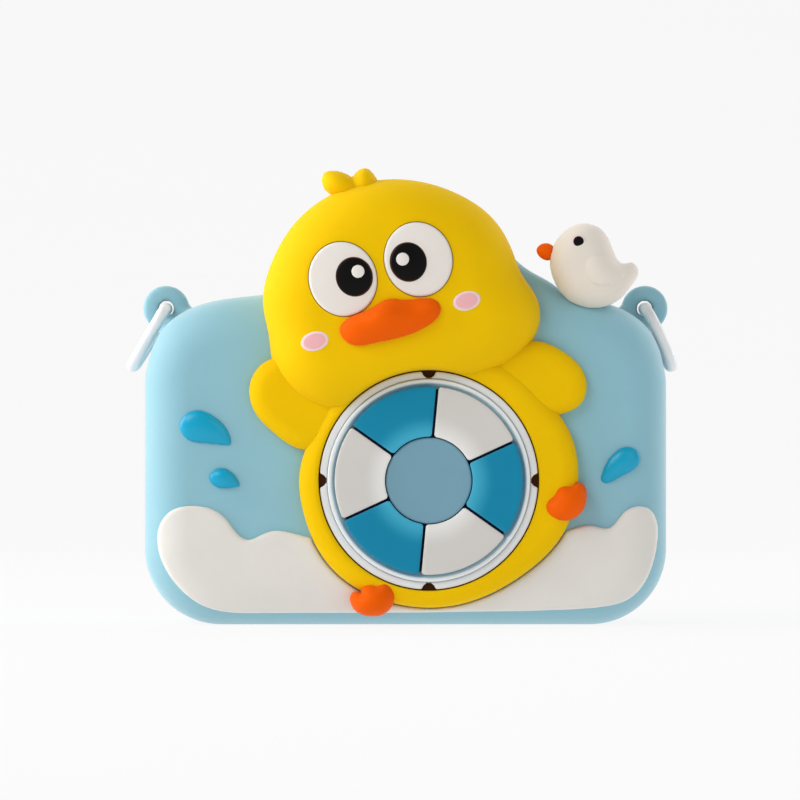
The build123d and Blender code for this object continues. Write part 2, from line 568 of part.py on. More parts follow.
# ---- Lens cap shaped as a swim ring -----------------------------------------------------------
with BuildPart() as lens_cap_base:
    add(disc(LENS_X, LENS_Z, CAP_RADIUS, CAP_SEAT, CAP_RIM_FRONT))
    fillet(lens_cap_base.faces().sort_by(Axis.Y)[0].edges(), 0.6)
    add(disc(LENS_X, LENS_Z, CAP_PLUG_RADIUS, CAP_BACK, CAP_SEAT))
    add(disc(LENS_X, LENS_Z, CAP_RIM_INNER, CAP_FLOOR, CAP_RIM_FRONT), mode=Mode.SUBTRACT)
    add(disc(LENS_X, LENS_Z, CAP_PLUG_BORE, CAP_BACK, CAP_FLOOR - CAP_WALL), mode=Mode.SUBTRACT)
save(lens_cap_base.part, "lens_cap_base")

with BuildPart() as ring_segments:
    with BuildSketch(Plane.XZ.offset(CAP_FLOOR)):
        with Locations((LENS_X, LENS_Z)):
            Circle(SEGMENT_OUTER)
            Circle(SEGMENT_INNER, mode=Mode.SUBTRACT)
            with PolarLocations(0, 3, start_angle=SEGMENT_START):
                Rectangle(2 * SEGMENT_OUTER + 1, SEGMENT_GAP, mode=Mode.SUBTRACT)
    extrude(amount=SEGMENT_FRONT - CAP_FLOOR)
    fillet(ring_segments.faces().group_by(Axis.Y)[0].edges(), 0.8)

for name, parity in (("lens_cap_white_segments", 0), ("lens_cap_blue_segments", 1)):
    with BuildPart() as segments:
        for solid in ring_segments.solids():
            centre = solid.center()
            turn = degrees(atan2(centre.Z - LENS_Z, centre.X - LENS_X)) - SEGMENT_START
            if int(turn % 360 // 60) % 2 == parity:
                add(solid)
    save(segments.part, name)

save(disc(LENS_X, LENS_Z, CAP_CENTRE_RADIUS, CAP_FLOOR, CAP_CENTRE_FRONT), "lens_cap_centre")

# ---- Keys on the back, each with a flange inside the shell and a stem to its switch -----------
switch_top = BOARD_BACK - SWITCH_HEIGHT - SWITCH_ACTUATOR
flange_back = INNER_BACK + 0.1
flange_front = flange_back + 0.8
for name, (x, z, radius) in pad_keys.items():
    with BuildPart() as key:
        add(disc(x, z, radius, BODY_BACK - KEY_PROUD, flange_back))
        fillet(key.faces().sort_by(Axis.Y)[-1].edges(), 0.5)
        add(disc(x, z, radius + FLANGE_LIP, flange_back, flange_front))
        add(disc(x, z, 1.2, flange_front, switch_top - KEY_TRAVEL - CLOSING_GAP))
    save(key.part, name)

with BuildPart() as tact_switches:
    for x, z, radius in pad_keys.values():
        add(slab(x, z, 4.5, 4.5, BOARD_BACK - SWITCH_HEIGHT, BOARD_BACK))
        add(disc(x, z, 1.0, switch_top, BOARD_BACK - SWITCH_HEIGHT))
save(tact_switches.part, "tact_switches")

# ---- Shutter button and its switch -------------------------------------------------------------
BUTTON_FLANGE = BODY_TOP - BODY_WALL - 0.3  # top of the flange under the shell's wall
FLANGE_THICKNESS = 1.0
SHUTTER_SWITCH_TOP, SHUTTER_SWITCH_BODY = 53.8, 3.0
with BuildPart() as shutter_button:
    with BuildSketch(Plane.XY.offset(BUTTON_FLANGE)):
        with Locations((SHUTTER_X, 0)):
            SlotOverall(SHUTTER_LENGTH, SHUTTER_WIDTH)
    extrude(amount=SHUTTER_TOP - BUTTON_FLANGE)
    fillet(shutter_button.faces().sort_by(Axis.Z)[-1].edges(), 1.0)
    with BuildSketch(Plane.XY.offset(BUTTON_FLANGE)):
        with Locations((SHUTTER_X, 0)):
            SlotOverall(SHUTTER_LENGTH + 2 * FLANGE_LIP, SHUTTER_WIDTH + 2 * FLANGE_LIP)
    extrude(amount=-FLANGE_THICKNESS)
    with BuildSketch(Plane.XY.offset(BUTTON_FLANGE - FLANGE_THICKNESS)):
        with Locations((SHUTTER_X, 0)):
            Circle(1.5)
    extrude(amount=SHUTTER_SWITCH_TOP + SHUTTER_TRAVEL + CLOSING_GAP - BUTTON_FLANGE + FLANGE_THICKNESS)
save(shutter_button.part, "shutter_button")

with BuildPart() as shutter_switch:
    with BuildSketch(Plane.XY.offset(SHUTTER_SWITCH_TOP - SWITCH_PIN - SHUTTER_SWITCH_BODY)):
        with Locations((SHUTTER_X, (-BOARD_FRONT - 3) / 2)):
            Rectangle(6, -BOARD_FRONT + 3)
    extrude(amount=SHUTTER_SWITCH_BODY)
    with BuildSketch(Plane.XY.offset(SHUTTER_SWITCH_TOP - SWITCH_PIN)):
        with Locations((SHUTTER_X, 0)):
            Circle(1.2)
    extrude(amount=SWITCH_PIN)
save(shutter_switch.part, "shutter_switch")

# ---- Board, display, battery, speaker and sockets ----------------------------------------------
with BuildPart() as main_board:
    with BuildSketch(Plane.XZ.offset(BOARD_BACK)):
        with Locations((0, BODY_MID)):
            Rectangle(84, 34)
            Rectangle(74, 48)
        with Locations(*board_screw_places):
            Circle(1.0, mode=Mode.SUBTRACT)
    extrude(amount=BOARD_FRONT - BOARD_BACK)
save(main_board.part, "main_board")

save(slab(20, 36, 10, 10, BOARD_FRONT, BOARD_FRONT + 1), "processor_chip")
panel_back = INNER_BACK + MASK_THICKNESS
panel_front = panel_back + PANEL_THICKNESS
save(slab(WINDOW_X, WINDOW_Z, PANEL_WIDTH, PANEL_HEIGHT, panel_back, panel_front), "display_panel")

with BuildPart() as display_holder:
    add(slab(WINDOW_X, WINDOW_Z, PANEL_WIDTH, PANEL_HEIGHT, panel_front, BOARD_BACK))
    add(slab(WINDOW_X, WINDOW_Z, PANEL_WIDTH - 4, PANEL_HEIGHT - 4, panel_front, BOARD_BACK), mode=Mode.SUBTRACT)
save(display_holder.part, "display_holder")

with BuildPart() as display_mask:
    with BuildSketch(Plane.XZ.offset(INNER_BACK)):
        with Locations((WINDOW_X, WINDOW_Z)):
            RectangleRounded(WINDOW_WIDTH + 2, WINDOW_HEIGHT + 2, 3)
            RectangleRounded(PICTURE_WIDTH, PICTURE_HEIGHT, 0.8, mode=Mode.SUBTRACT)
    extrude(amount=MASK_THICKNESS)
save(display_mask.part, "display_mask")

with BuildPart() as display_window:
    with BuildSketch(Plane.XZ.offset(BODY_BACK)):
        with Locations((WINDOW_X, WINDOW_Z)):
            RectangleRounded(WINDOW_WIDTH - 0.2, WINDOW_HEIGHT - 0.2, 2.4)
    extrude(amount=BODY_WALL)
save(display_window.part, "display_window")

with BuildPart() as battery:
    add(slab(-29.2, 31.0, 23.5, 36, INNER_FRONT - 5.5, INNER_FRONT))
    fillet(battery.edges().filter_by(Axis.Z), 1.5)
save(battery.part, "battery")

with BuildPart() as speaker:
    add(slab(SPEAKER_X, SPEAKER_Z, 18, 4.2, INNER_BACK, INNER_BACK + 4))
    add(slab(SPEAKER_X, SPEAKER_Z, 15.4, 3.4, INNER_BACK, INNER_BACK + 0.6), mode=Mode.SUBTRACT)
save(speaker.part, "speaker")

save(disc(MICROPHONE_X, REAR_LENS_Z, 2.0, -8.0, BOARD_BACK), "microphone")

with BuildPart() as rear_lens:
    add(disc(REAR_LENS_X, REAR_LENS_Z, REAR_LENS_RADIUS, BODY_BACK - 0.4, BOARD_BACK))
    add(disc(REAR_LENS_X, REAR_LENS_Z, REAR_LENS_BORE, CASE_BACK, REAR_GLASS_FRONT), mode=Mode.SUBTRACT)
save(rear_lens.part, "rear_lens")
save(disc(REAR_LENS_X, REAR_LENS_Z, REAR_LENS_BORE - 0.05, BODY_BACK - 0.1, REAR_GLASS_FRONT), "rear_lens_glass")

with BuildPart() as usb_socket:
    with BuildSketch(Plane.YZ.offset(USB_BACK_X)):
        with Locations((-PORT_DEPTH, USB_Z)):
            SlotOverall(USB_WIDTH, USB_HEIGHT, rotation=90)
            SlotOverall(USB_WIDTH - 2 * USB_WALL, USB_HEIGHT - 2 * USB_WALL, rotation=90, mode=Mode.SUBTRACT)
            Rectangle(0.7, 6.6)
    extrude(amount=USB_LENGTH)
    with BuildSketch(Plane.YZ.offset(USB_BACK_X)):
        with Locations((-PORT_DEPTH, USB_Z)):
            SlotOverall(USB_WIDTH, USB_HEIGHT, rotation=90)
    extrude(amount=2 * USB_WALL)
save(usb_socket.part, "usb_socket")

with BuildPart() as card_socket:
    with BuildSketch(Plane.YZ.offset(CARD_BACK_X)):
        with Locations((-CARD_DEPTH, CARD_Z)):
            Rectangle(2.2, 13)
    extrude(amount=CARD_LENGTH)
    with BuildSketch(Plane.YZ.offset(CARD_BACK_X + 2)):
        with Locations((-CARD_DEPTH, CARD_Z)):
            Rectangle(1.0, 11.2)
    extrude(amount=CARD_LENGTH, mode=Mode.SUBTRACT)
save(card_socket.part, "card_socket")

# ---- Port cover: a plate flush in the case's side, with a plug over each socket ---------------
with BuildPart() as port_cover:
    with BuildSketch(Plane.YZ.offset(PORT_OUTER_X - COVER_THICKNESS)):
        with Locations((-PORT_DEPTH, (PORT_LOW + PORT_HIGH) / 2)):
            RectangleRounded(PORT_WIDTH, PORT_HIGH - PORT_LOW, 1.0)
    extrude(amount=COVER_THICKNESS)
    with BuildSketch(Plane.YZ.offset(BODY_HALF_WIDTH + SKIN_GAP)):
        with Locations((-PORT_DEPTH, USB_Z)):
            SlotOverall(10.4, 4.6, rotation=90)
        with Locations((-CARD_DEPTH, CARD_Z)):
            SlotOverall(12.4, 3.0, rotation=90)
    extrude(amount=PORT_OUTER_X - BODY_HALF_WIDTH - COVER_THICKNESS + 0.3)
save(port_cover.part, "port_cover")

# ---- Screws -------------------------------------------------------------------------------------
with BuildPart() as case_screws:
    for x, z in screw_places:
        add(disc(x, z, SCREW_HEAD, BODY_BACK + 0.2, BODY_BACK + RECESS_DEPTH))
        add(disc(x, z, SCREW_SHANK, BODY_BACK + RECESS_DEPTH, SCREW_TIP))
save(case_screws.part, "case_screws")

with BuildPart() as board_screws:
    for x, z in board_screw_places:
        add(disc(x, z, BOARD_SCREW_HEAD, BOARD_BACK - 1.0, BOARD_BACK))
        add(disc(x, z, BOARD_SCREW_SHANK, BOARD_BACK, BOARD_SCREW_TIP))
save(board_screws.part, "board_screws")
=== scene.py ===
import json
from functools import lru_cache
from math import cos, pi, radians, sin

import bmesh
import bpy
import numpy as np
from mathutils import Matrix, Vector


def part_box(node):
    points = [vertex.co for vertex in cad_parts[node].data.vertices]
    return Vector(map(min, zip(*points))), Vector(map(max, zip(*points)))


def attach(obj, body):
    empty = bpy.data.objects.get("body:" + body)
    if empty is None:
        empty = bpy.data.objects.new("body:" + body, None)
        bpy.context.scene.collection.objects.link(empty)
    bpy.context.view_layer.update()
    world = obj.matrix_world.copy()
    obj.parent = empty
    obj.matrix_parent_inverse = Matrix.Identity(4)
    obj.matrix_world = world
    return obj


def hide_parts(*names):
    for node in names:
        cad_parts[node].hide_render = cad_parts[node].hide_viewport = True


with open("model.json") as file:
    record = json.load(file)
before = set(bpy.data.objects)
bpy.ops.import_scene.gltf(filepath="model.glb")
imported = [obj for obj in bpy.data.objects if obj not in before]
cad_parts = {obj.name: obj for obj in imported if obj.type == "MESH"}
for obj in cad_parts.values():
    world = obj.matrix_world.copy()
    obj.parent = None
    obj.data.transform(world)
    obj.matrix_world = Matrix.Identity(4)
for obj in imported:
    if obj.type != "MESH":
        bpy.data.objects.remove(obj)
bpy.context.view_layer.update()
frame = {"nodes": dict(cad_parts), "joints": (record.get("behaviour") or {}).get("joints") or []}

import openvdb
from mathutils import Vector

# Shapes below are worked out in millimetres in the shared frame and become metres as meshes.
# A depth is a distance towards the front, so depth 18 is the plane y = -18 mm.
MM = 0.001


# ---- What the CAD model says --------------------------------------------------------------
@lru_cache(maxsize=None)
def box_mm(node):
    """Lowest and highest corner of a CAD node, in millimetres."""
    low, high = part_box(node)
    return np.array(low) / MM, np.array(high) / MM


def front_of(node):
    """Depth of a CAD node's foremost point."""
    return -box_mm(node)[0][1]


def back_of(node):
    """Depth of a CAD node's rearmost point."""
    return -box_mm(node)[1][1]


def thickness_of(node):
    """Middle depth of a CAD node and half its thickness."""
    return (front_of(node) + back_of(node)) / 2, (front_of(node) - back_of(node)) / 2

def centre_of(node):
    """Centre of a CAD node's box in the front view."""
    low, high = box_mm(node)
    return (low[0] + high[0]) / 2, (low[2] + high[2]) / 2


def radius_of(node):
    """Half of a CAD node's width in the front view."""
    low, high = box_mm(node)
    return (high[0] - low[0]) / 2


LENS_X, LENS_Z = centre_of("lens_cap_base")
SHELL_LOW, SHELL_HIGH = box_mm("front_shell")
SHELL_CORNER = 11.0
REAR_BACK = back_of("rear_shell")
CASE_DEPTH, SIDE_WALL, FRONT_WALL, LIP_WIDTH = 34.0, 4.4, 3.5, 3.5
CASE_BACK = back_of("silicone_case")
CASE_FRONT = CASE_BACK + CASE_DEPTH
SKIN_FRONT = CASE_FRONT - FRONT_WALL
CASE_HALF_WIDTH = SHELL_HIGH[0] + SIDE_WALL
FRONT_ROUNDING, BACK_ROUNDING = (8.5, 8.0), 4.0
CASE_LENS_OPENING = 21.1
RELIEF_ROOT = 0.4  # how far the relief parts reach into the case
BUTTON_FLANGE = 0.8  # width of the hidden rim around the shutter button
HEAD_FRONT = front_of("duck_head")
CAP_FLOOR = back_of("lens_cap_centre")
SEGMENT_OUTER, SEGMENT_INNER, SEGMENT_GAP = 17.8, 8.3, 0.5
CAP_RIM_INNER = SEGMENT_OUTER + 0.05
HINGES = {j["name"]: np.array(j["pos_m"]) / MM for j in frame["joints"] if "pos_m" in j}

# ---- Outlines in the front view, as a few points of a smooth closed curve -------------------
CASE_SHOULDER = [(49.9, 46), (49.3, 50), (48, 54), (45.9, 57.2), (43, 59.5), (39.3, 61.2), (34.5, 62.3),
                 (27, 63.2)]
CASE_CORNER = 14.5
HUMP = [(30, 57), (27.9, 65), (24, 67.6), (20.8, 70.2), (18, 74), (12, 79.5), (4, 83), (-6, 83), (-14, 79.5),
        (-20, 72), (-22, 65), (-21, 57)]
HEAD = [(-1, 84.9), (10, 82.1), (17, 77), (20.3, 71.3), (22.2, 66.7), (25.1, 62), (25.2, 56.5), (20, 49.9),
        (10, 46), (-4, 41.8), (-15.2, 40.7), (-22, 44.4), (-25.3, 50), (-26, 55), (-27.1, 61.5),
        (-25.5, 69), (-20.5, 77.2), (-12, 83)]
CREST_LEFT = [(-12.6, 81.5), (-15.7, 83.7), (-15.5, 86), (-12.8, 86.4), (-9.5, 84.8), (-7, 82)]
CREST_RIGHT = [(-10.4, 83), (-9.4, 86.2), (-7.6, 87), (-6, 85.8), (-5.2, 83), (-7.5, 81.5)]
BELLY = [(-20.2, 28), (-19.6, 22.5), (-14, 11), (-2, 4.3), (10, 4.1), (22, 9.6), (30, 17.7), (32.8, 28.5),
         (31, 37.2), (26, 43.7), (19.6, 49.4), (4, 53), (-9, 49), (-17.6, 37)]
WING_LEFT = [(-20, 50), (-25.6, 50.7), (-29.2, 47.1), (-29, 41.4), (-24.8, 36.5), (-19.8, 33.6), (-12, 36)]
WING_RIGHT = [(16, 50), (24.3, 54.2), (30, 52.1), (34.2, 47.2), (33.5, 42.5), (29.4, 40.2), (22, 40)]
BEAK = [(-12.4, 56.2), (-10.3, 58.6), (-6.8, 60), (-3.6, 61.8), (0.3, 61.8), (3.8, 62.1), (6.2, 61.3),
        (6.5, 59.4), (4.6, 57.2), (-0.4, 54.9), (-6.2, 53.6), (-10.6, 53.6)]
FOOT_RIGHT = [(26.2, 22.8), (27, 24.3), (27.9, 24.8), (28.5, 26.2), (29.8, 26.9), (31.3, 26.6), (32.7, 27.3),
              (33.9, 26.6), (34.3, 24.4), (33.6, 22), (31.7, 20.4), (29.4, 20), (27.2, 20.9)]
FOOT_LEFT = [(-10.5, 4.9), (-10.2, 6.2), (-9.2, 6.5), (-8.5, 6.3), (-8.3, 7.3), (-7.2, 8), (-6.1, 8),
             (-5.5, 7.7), (-4.6, 8.4), (-3.3, 8.3), (-2.3, 7.2), (-2.1, 5.5), (-2.8, 3.5), (-4.8, 2.1),
             (-7.2, 2), (-9.5, 3)]
FOAM = [(-47.2, 15.8), (-46.7, 19.3), (-44.3, 22), (-40, 22.8), (-36.5, 22.1), (-33.7, 19.9), (-31.7, 17.3),
        (-29.9, 16.4), (-28, 17), (-24.9, 18.1), (-21.8, 17.7), (-18.3, 16.8), (6, 14), (28, 17),
        (32.8, 18.8), (35.5, 19.1), (38.5, 18.6), (39.9, 19.6), (41.3, 21.4), (43, 22.5), (45, 22.7),
        (46.6, 22), (47.7, 20.2), (48, 16.9), (47.4, 13), (46.3, 9.7), (44.6, 6.9), (42, 4.8), (38, 3.7),
        (31, 3.1), (16, 2.7), (0, 2.5), (-28, 2.4), (-34, 2.6), (-38.3, 3.7), (-41.8, 6), (-45.3, 10.2)]
DROPS = [
    [(-42.9, 38.2), (-40.2, 40.9), (-36.9, 40.1), (-34.4, 38), (-33.3, 35.8), (-33.3, 34.5), (-34.1, 34.4),
     (-38.3, 34.8), (-41.4, 35.5)],
    [(-37.3, 28.2), (-35.1, 30), (-33.2, 29.3), (-31.8, 27.5), (-31.6, 26.6), (-32.3, 26.4), (-36.3, 26.7)],
    [(37.3, 28.7), (37.3, 27.5), (38, 27.2), (40.4, 28.2), (43.3, 29.7), (44.6, 31.5), (44, 33.3), (42, 34),
     (39.6, 32.8), (38.1, 30.8)],
]
BIRD = [(28.1, 72), (27.6, 69.3), (28.1, 66.4), (31, 62.1), (36.3, 60.5), (41.4, 62.7), (43.2, 65),
        (44.4, 67.6), (43.2, 69.1), (41.6, 68.9), (39.6, 71.4), (37.3, 75.5), (34.4, 76.6), (30.3, 75.1)]
BIRD_WING = [(34.4, 67.6), (35, 69.7), (37, 70.4), (39, 69.5), (41.6, 67), (38.5, 64.8), (35.4, 65.2)]
BIRD_BEAK = [(28.1, 72.3), (25.8, 72.6), (25, 71.6), (25.4, 70.5), (26.9, 69.6), (28.1, 69.9)]


# ---- Fields: signed distances on a grid, below zero inside the shape ------------------------
class Space:
    """A grid of points around a box, in millimetres."""

    def __init__(self, low, high, pitch, margin=4):
        self.pitch = pitch
        self.low = np.array(low, float) - margin * pitch
        counts = np.ceil((np.array(high, float) - self.low) / pitch).astype(int) + margin + 1
        self.xs, self.ys, self.zs = (self.low[i] + pitch * np.arange(counts[i]) for i in range(3))
        self.x = self.xs[:, None, None]
        self.y = self.ys[None, :, None]
        self.z = self.zs[None, None, :]
        self.depth = -self.y

    def flat(self, plan):
        """A front-view field, the same at every depth."""
        return plan[:, None, :]


def around(node, pitch, grow=0.0):
    """The grid that holds one CAD node."""
    low, high = box_mm(node)
    return Space(low - grow, high + grow, pitch)


def closed_curve(points, spans=14):
    """Points along the periodic cubic spline through a few points."""
    p = np.array(points, float)
    n = len(p)
    after = np.roll(p, -1, axis=0)
    h = np.linalg.norm(after - p, axis=1)
    h_before = np.roll(h, 1)
    system = np.zeros((n, n))
    for i in range(n):
        system[i, i - 1] += h_before[i]
        system[i, i] += 2 * (h_before[i] + h[i])
        system[i, (i + 1) % n] += h[i]
    slopes = (after - p) / h[:, None]
    bend = np.linalg.solve(system, 6 * (slopes - np.roll(slopes, 1, axis=0)))
    bend_after = np.roll(bend, -1, axis=0)
    samples = []
    for i in range(n):
        t = np.linspace(0, h[i], spans, endpoint=False)[:, None]
        left = h[i] - t
        samples.append(
            (bend[i] * left**3 + bend_after[i] * t**3) / (6 * h[i])
            + (p[i] / h[i] - bend[i] * h[i] / 6) * left
            + (after[i] / h[i] - bend_after[i] * h[i] / 6) * t
        )
    return np.concatenate(samples)


def case_curve():
    """The case's outline: flat base, round lower corners, straight sides and sloping shoulders."""
    side, r = CASE_HALF_WIDTH, CASE_CORNER
    corner = [(side - r + r * sin(a), r - r * cos(a)) for a in np.linspace(0, pi / 2, 24)]
    shoulder = closed_curve(CASE_SHOULDER + [(0, 64), (0, 40)], 10)[: 10 * (len(CASE_SHOULDER) - 1) + 1]
    half = corner + [tuple(q) for q in shoulder]
    return np.array(half + [(-x, z) for x, z in reversed(half)])


def outline(space, curve):
    """Front-view distance to a closed curve, below zero inside it."""
    x, z = space.xs[:, None], space.zs[None, :]
    nearest = np.full((len(space.xs), len(space.zs)), np.inf)
    inside = np.zeros(nearest.shape, bool)
    for (ax, az), (bx, bz) in zip(curve, np.roll(curve, -1, axis=0)):
        ex, ez = bx - ax, bz - az
        along = np.clip(((x - ax) * ex + (z - az) * ez) / max(ex * ex + ez * ez, 1e-12), 0, 1)
        nearest = np.minimum(nearest, (x - ax - along * ex) ** 2 + (z - az - along * ez) ** 2)
        if abs(ez) > 1e-12:
            inside ^= ((az > z) != (bz > z)) & (x < ax + (z - az) / ez * ex)
    return np.where(inside, -1, 1) * np.sqrt(nearest)


def round_plan(space, x, z, radius):
    """Front-view distance to a circle."""
    return np.hypot(space.xs[:, None] - x, space.zs[None, :] - z) - radius


def rounded_rectangle(u, v, half_u, half_v, corner):
    """Distance to a rounded rectangle centred on zero."""
    p, q = np.abs(u) - half_u + corner, np.abs(v) - half_v + corner
    return np.hypot(np.maximum(p, 0), np.maximum(q, 0)) + np.minimum(np.maximum(p, q), 0) - corner


def meet(a, b, across, along=None):
    """The inside of both fields, with their common edge rounded by across and along."""
    along = across if along is None else along
    p, q = (a + across) / across, (b + along) / along
    outside = np.hypot(np.maximum(p, 0), np.maximum(q, 0))
    return (outside + np.minimum(np.maximum(p, q), 0) - 1) * min(across, along)


def join(a, b, blend):
    """Both fields together, with a fillet of about blend where they meet."""
    return np.minimum(a, b) - np.maximum(blend - np.abs(a - b), 0) ** 2 / (4 * blend)


def cut(a, b, blend=0.3):
    """The first field without the second, with a softened edge."""
    return -join(-a, b, blend)


def puff(plan, pitch, rounds=500):
    """How far a membrane over a front-view outline would swell: 0 on the edge, 1 at its highest."""
    inside = plan < 0
    u = np.zeros(plan.shape)
    for _ in range(rounds):
        near = (np.roll(u, 1, 0) + np.roll(u, -1, 0) + np.roll(u, 1, 1) + np.roll(u, -1, 1)) / 4
        u = np.where(inside, near + pitch * pitch, 0)
    u /= u.max()
    steep = np.hypot(*np.gradient(u, pitch))
    rim = np.median(steep[inside & (plan > -1.5 * pitch)])
    return np.where(inside, u, -plan * rim)


def case_solid(space):
    """The case's outer block."""
    plan = space.flat(outline(space, case_curve()))
    front = meet(plan, space.depth - CASE_FRONT, *FRONT_ROUNDING)
    return meet(front, CASE_BACK - space.depth, BACK_ROUNDING)


def shell_solid(space, grow, back, front):
    """The block that the camera's shells fill, larger by grow in the front view."""
    mid = (SHELL_LOW[2] + SHELL_HIGH[2]) / 2
    half_x, half_z = SHELL_HIGH[0], (SHELL_HIGH[2] - SHELL_LOW[2]) / 2
    plan = rounded_rectangle(space.x, space.z - mid, half_x + grow, half_z + grow, SHELL_CORNER + grow)
    return np.maximum(np.maximum(plan, space.depth - front), back - space.depth)


def lens_hole(space, radius=CASE_LENS_OPENING):
    """A round hole through everything in front of the lens."""
    return space.flat(round_plan(space, LENS_X, LENS_Z, radius))


# ---- Meshes ----------------------------------------------------------------------------------
def new_piece(name, verts, faces, materials, body="camera"):
    """A smooth-shaded mesh from points in millimetres, riding on a CAD body."""
    mesh = bpy.data.meshes.new(name)
    mesh.from_pydata((np.asarray(verts, float) * MM).tolist(), [], [list(face) for face in faces])
    mesh.polygons.foreach_set("use_smooth", [True] * len(mesh.polygons))
    piece = bpy.data.objects.new(name, mesh)
    bpy.context.scene.collection.objects.link(piece)
    for material in materials if isinstance(materials, (list, tuple)) else [materials]:
        mesh.materials.append(material)
    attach(piece, body)
    return piece


def skin(name, space, field, material, body="camera"):
    """The surface where a field is zero, as a piece."""
    field = np.broadcast_to(field, (len(space.xs), len(space.ys), len(space.zs)))
    slope = np.sqrt(sum(g * g for g in np.gradient(field, space.pitch)))
    reach = 3 * space.pitch
    level = np.clip(field / np.maximum(slope, 0.15), -reach, reach).astype(np.float32)
    grid = openvdb.FloatGrid(reach)
    grid.copyFromArray(level)
    points, quads = grid.convertToQuads(0.0)
    verts = space.low + np.asarray(points) * space.pitch
    return new_piece(name, verts, np.asarray(quads)[:, ::-1], material, body)


def oval_inlay(name, place, half, tilt, base, profile, materials):
    """A moulded oval that follows the surface under it. profile holds (scale, height, material index)."""
    (x, z), (half_width, half_height) = place, half
    steps = 72
    verts = []
    for scale, height, _ in profile:
        for turn in range(steps):
            angle = 2 * pi * turn / steps
            a, b = half_width * scale * cos(angle), half_height * scale * sin(angle)
            px, pz = x + a * cos(tilt) - b * sin(tilt), z + a * sin(tilt) + b * cos(tilt)
            verts.append((px, -(base(px, pz) + height), pz))
    faces, slots = [list(range(steps))], [profile[0][2]]
    for ring in range(1, len(profile)):
        for turn in range(steps):
            after = (turn + 1) % steps
            inner, outer = (ring - 1) * steps, ring * steps
            faces.append([inner + turn, inner + after, outer + after, outer + turn][::-1])
            slots.append(profile[ring][2])
    faces.append([(len(profile) - 1) * steps + turn for turn in range(steps)][::-1])
    slots.append(profile[-1][2])
    piece = new_piece(name, verts, faces, materials)
    piece.data.polygons.foreach_set("material_index", slots)
    return piece


def soften(points, radius, steps=5):
    """A closed profile with each corner rounded by about radius, apart from those on the axis."""
    p = [np.array(q, float) for q in points]
    rounded = []
    for i, corner in enumerate(p):
        if corner[0] == 0:
            rounded.append(tuple(corner))
            continue
        before, after = p[i - 1] - corner, p[(i + 1) % len(p)] - corner
        reach = min(radius, 0.45 * np.linalg.norm(before), 0.45 * np.linalg.norm(after))
        start = corner + before / np.linalg.norm(before) * reach
        end = corner + after / np.linalg.norm(after) * reach
        for t in np.linspace(0, 1, steps):
            rounded.append(tuple((1 - t) ** 2 * start + 2 * t * (1 - t) * corner + t * t * end))
    return rounded


def turned(name, profile, material, body="camera", steps=144):
    """A solid of revolution about the lens axis. profile is a closed loop of (radius, depth)."""
    count = len(profile)
    verts = [
        (LENS_X + r * cos(2 * pi * i / steps), -depth, LENS_Z + r * sin(2 * pi * i / steps))
        for i in range(steps)
        for r, depth in profile
    ]
    faces = []
    for i in range(steps):
        for j in range(count):
            here, there = i * count, (i + 1) % steps * count
            faces.append([here + j, there + j, there + (j + 1) % count, here + (j + 1) % count])
    piece = new_piece(name, verts, faces, material, body)
    face_outwards(piece)
    return piece


def face_outwards(piece):
    """Turns a closed mesh's faces outwards and welds points that coincide."""
    mesh = bmesh.new()
    mesh.from_mesh(piece.data)
    bmesh.ops.remove_doubles(mesh, verts=mesh.verts, dist=1e-7)
    bmesh.ops.dissolve_degenerate(mesh, dist=1e-7, edges=mesh.edges)
    bmesh.ops.recalc_face_normals(mesh, faces=mesh.faces)
    mesh.to_mesh(piece.data)
    mesh.free()


def tube(name, path, radius, material, body, sides=20):
    """A round wire along a closed path of points."""
    path = [Vector(p) for p in path]
    count = len(path)
    across = (path[1] - path[0]).cross(path[count // 3] - path[0]).normalized()
    verts, faces = [], []
    for i, point in enumerate(path):
        along = (path[(i + 1) % count] - path[i - 1]).normalized()
        out = along.cross(across)
        for side in range(sides):
            angle = 2 * pi * side / sides
            verts.append(point + radius * (cos(angle) * across + sin(angle) * out))
            after = (side + 1) % sides
            row, after_row = i * sides, (i + 1) % count * sides
            faces.append([row + side, row + after, after_row + after, after_row + side])
    piece = new_piece(name, verts, faces, material, body)
    face_outwards(piece)
    return piece


# ---- Materials -------------------------------------------------------------------------------
def linear(r, g, b):
    """An 8-bit display colour as the linear colour that shaders use."""
    shares = (r / 255, g / 255, b / 255)
    return tuple(c / 12.92 if c <= 0.04045 else ((c + 0.055) / 1.055) ** 2.4 for c in shares)


FADE_STRENGTH = 0.6  # share of the second colour where a fade is strongest

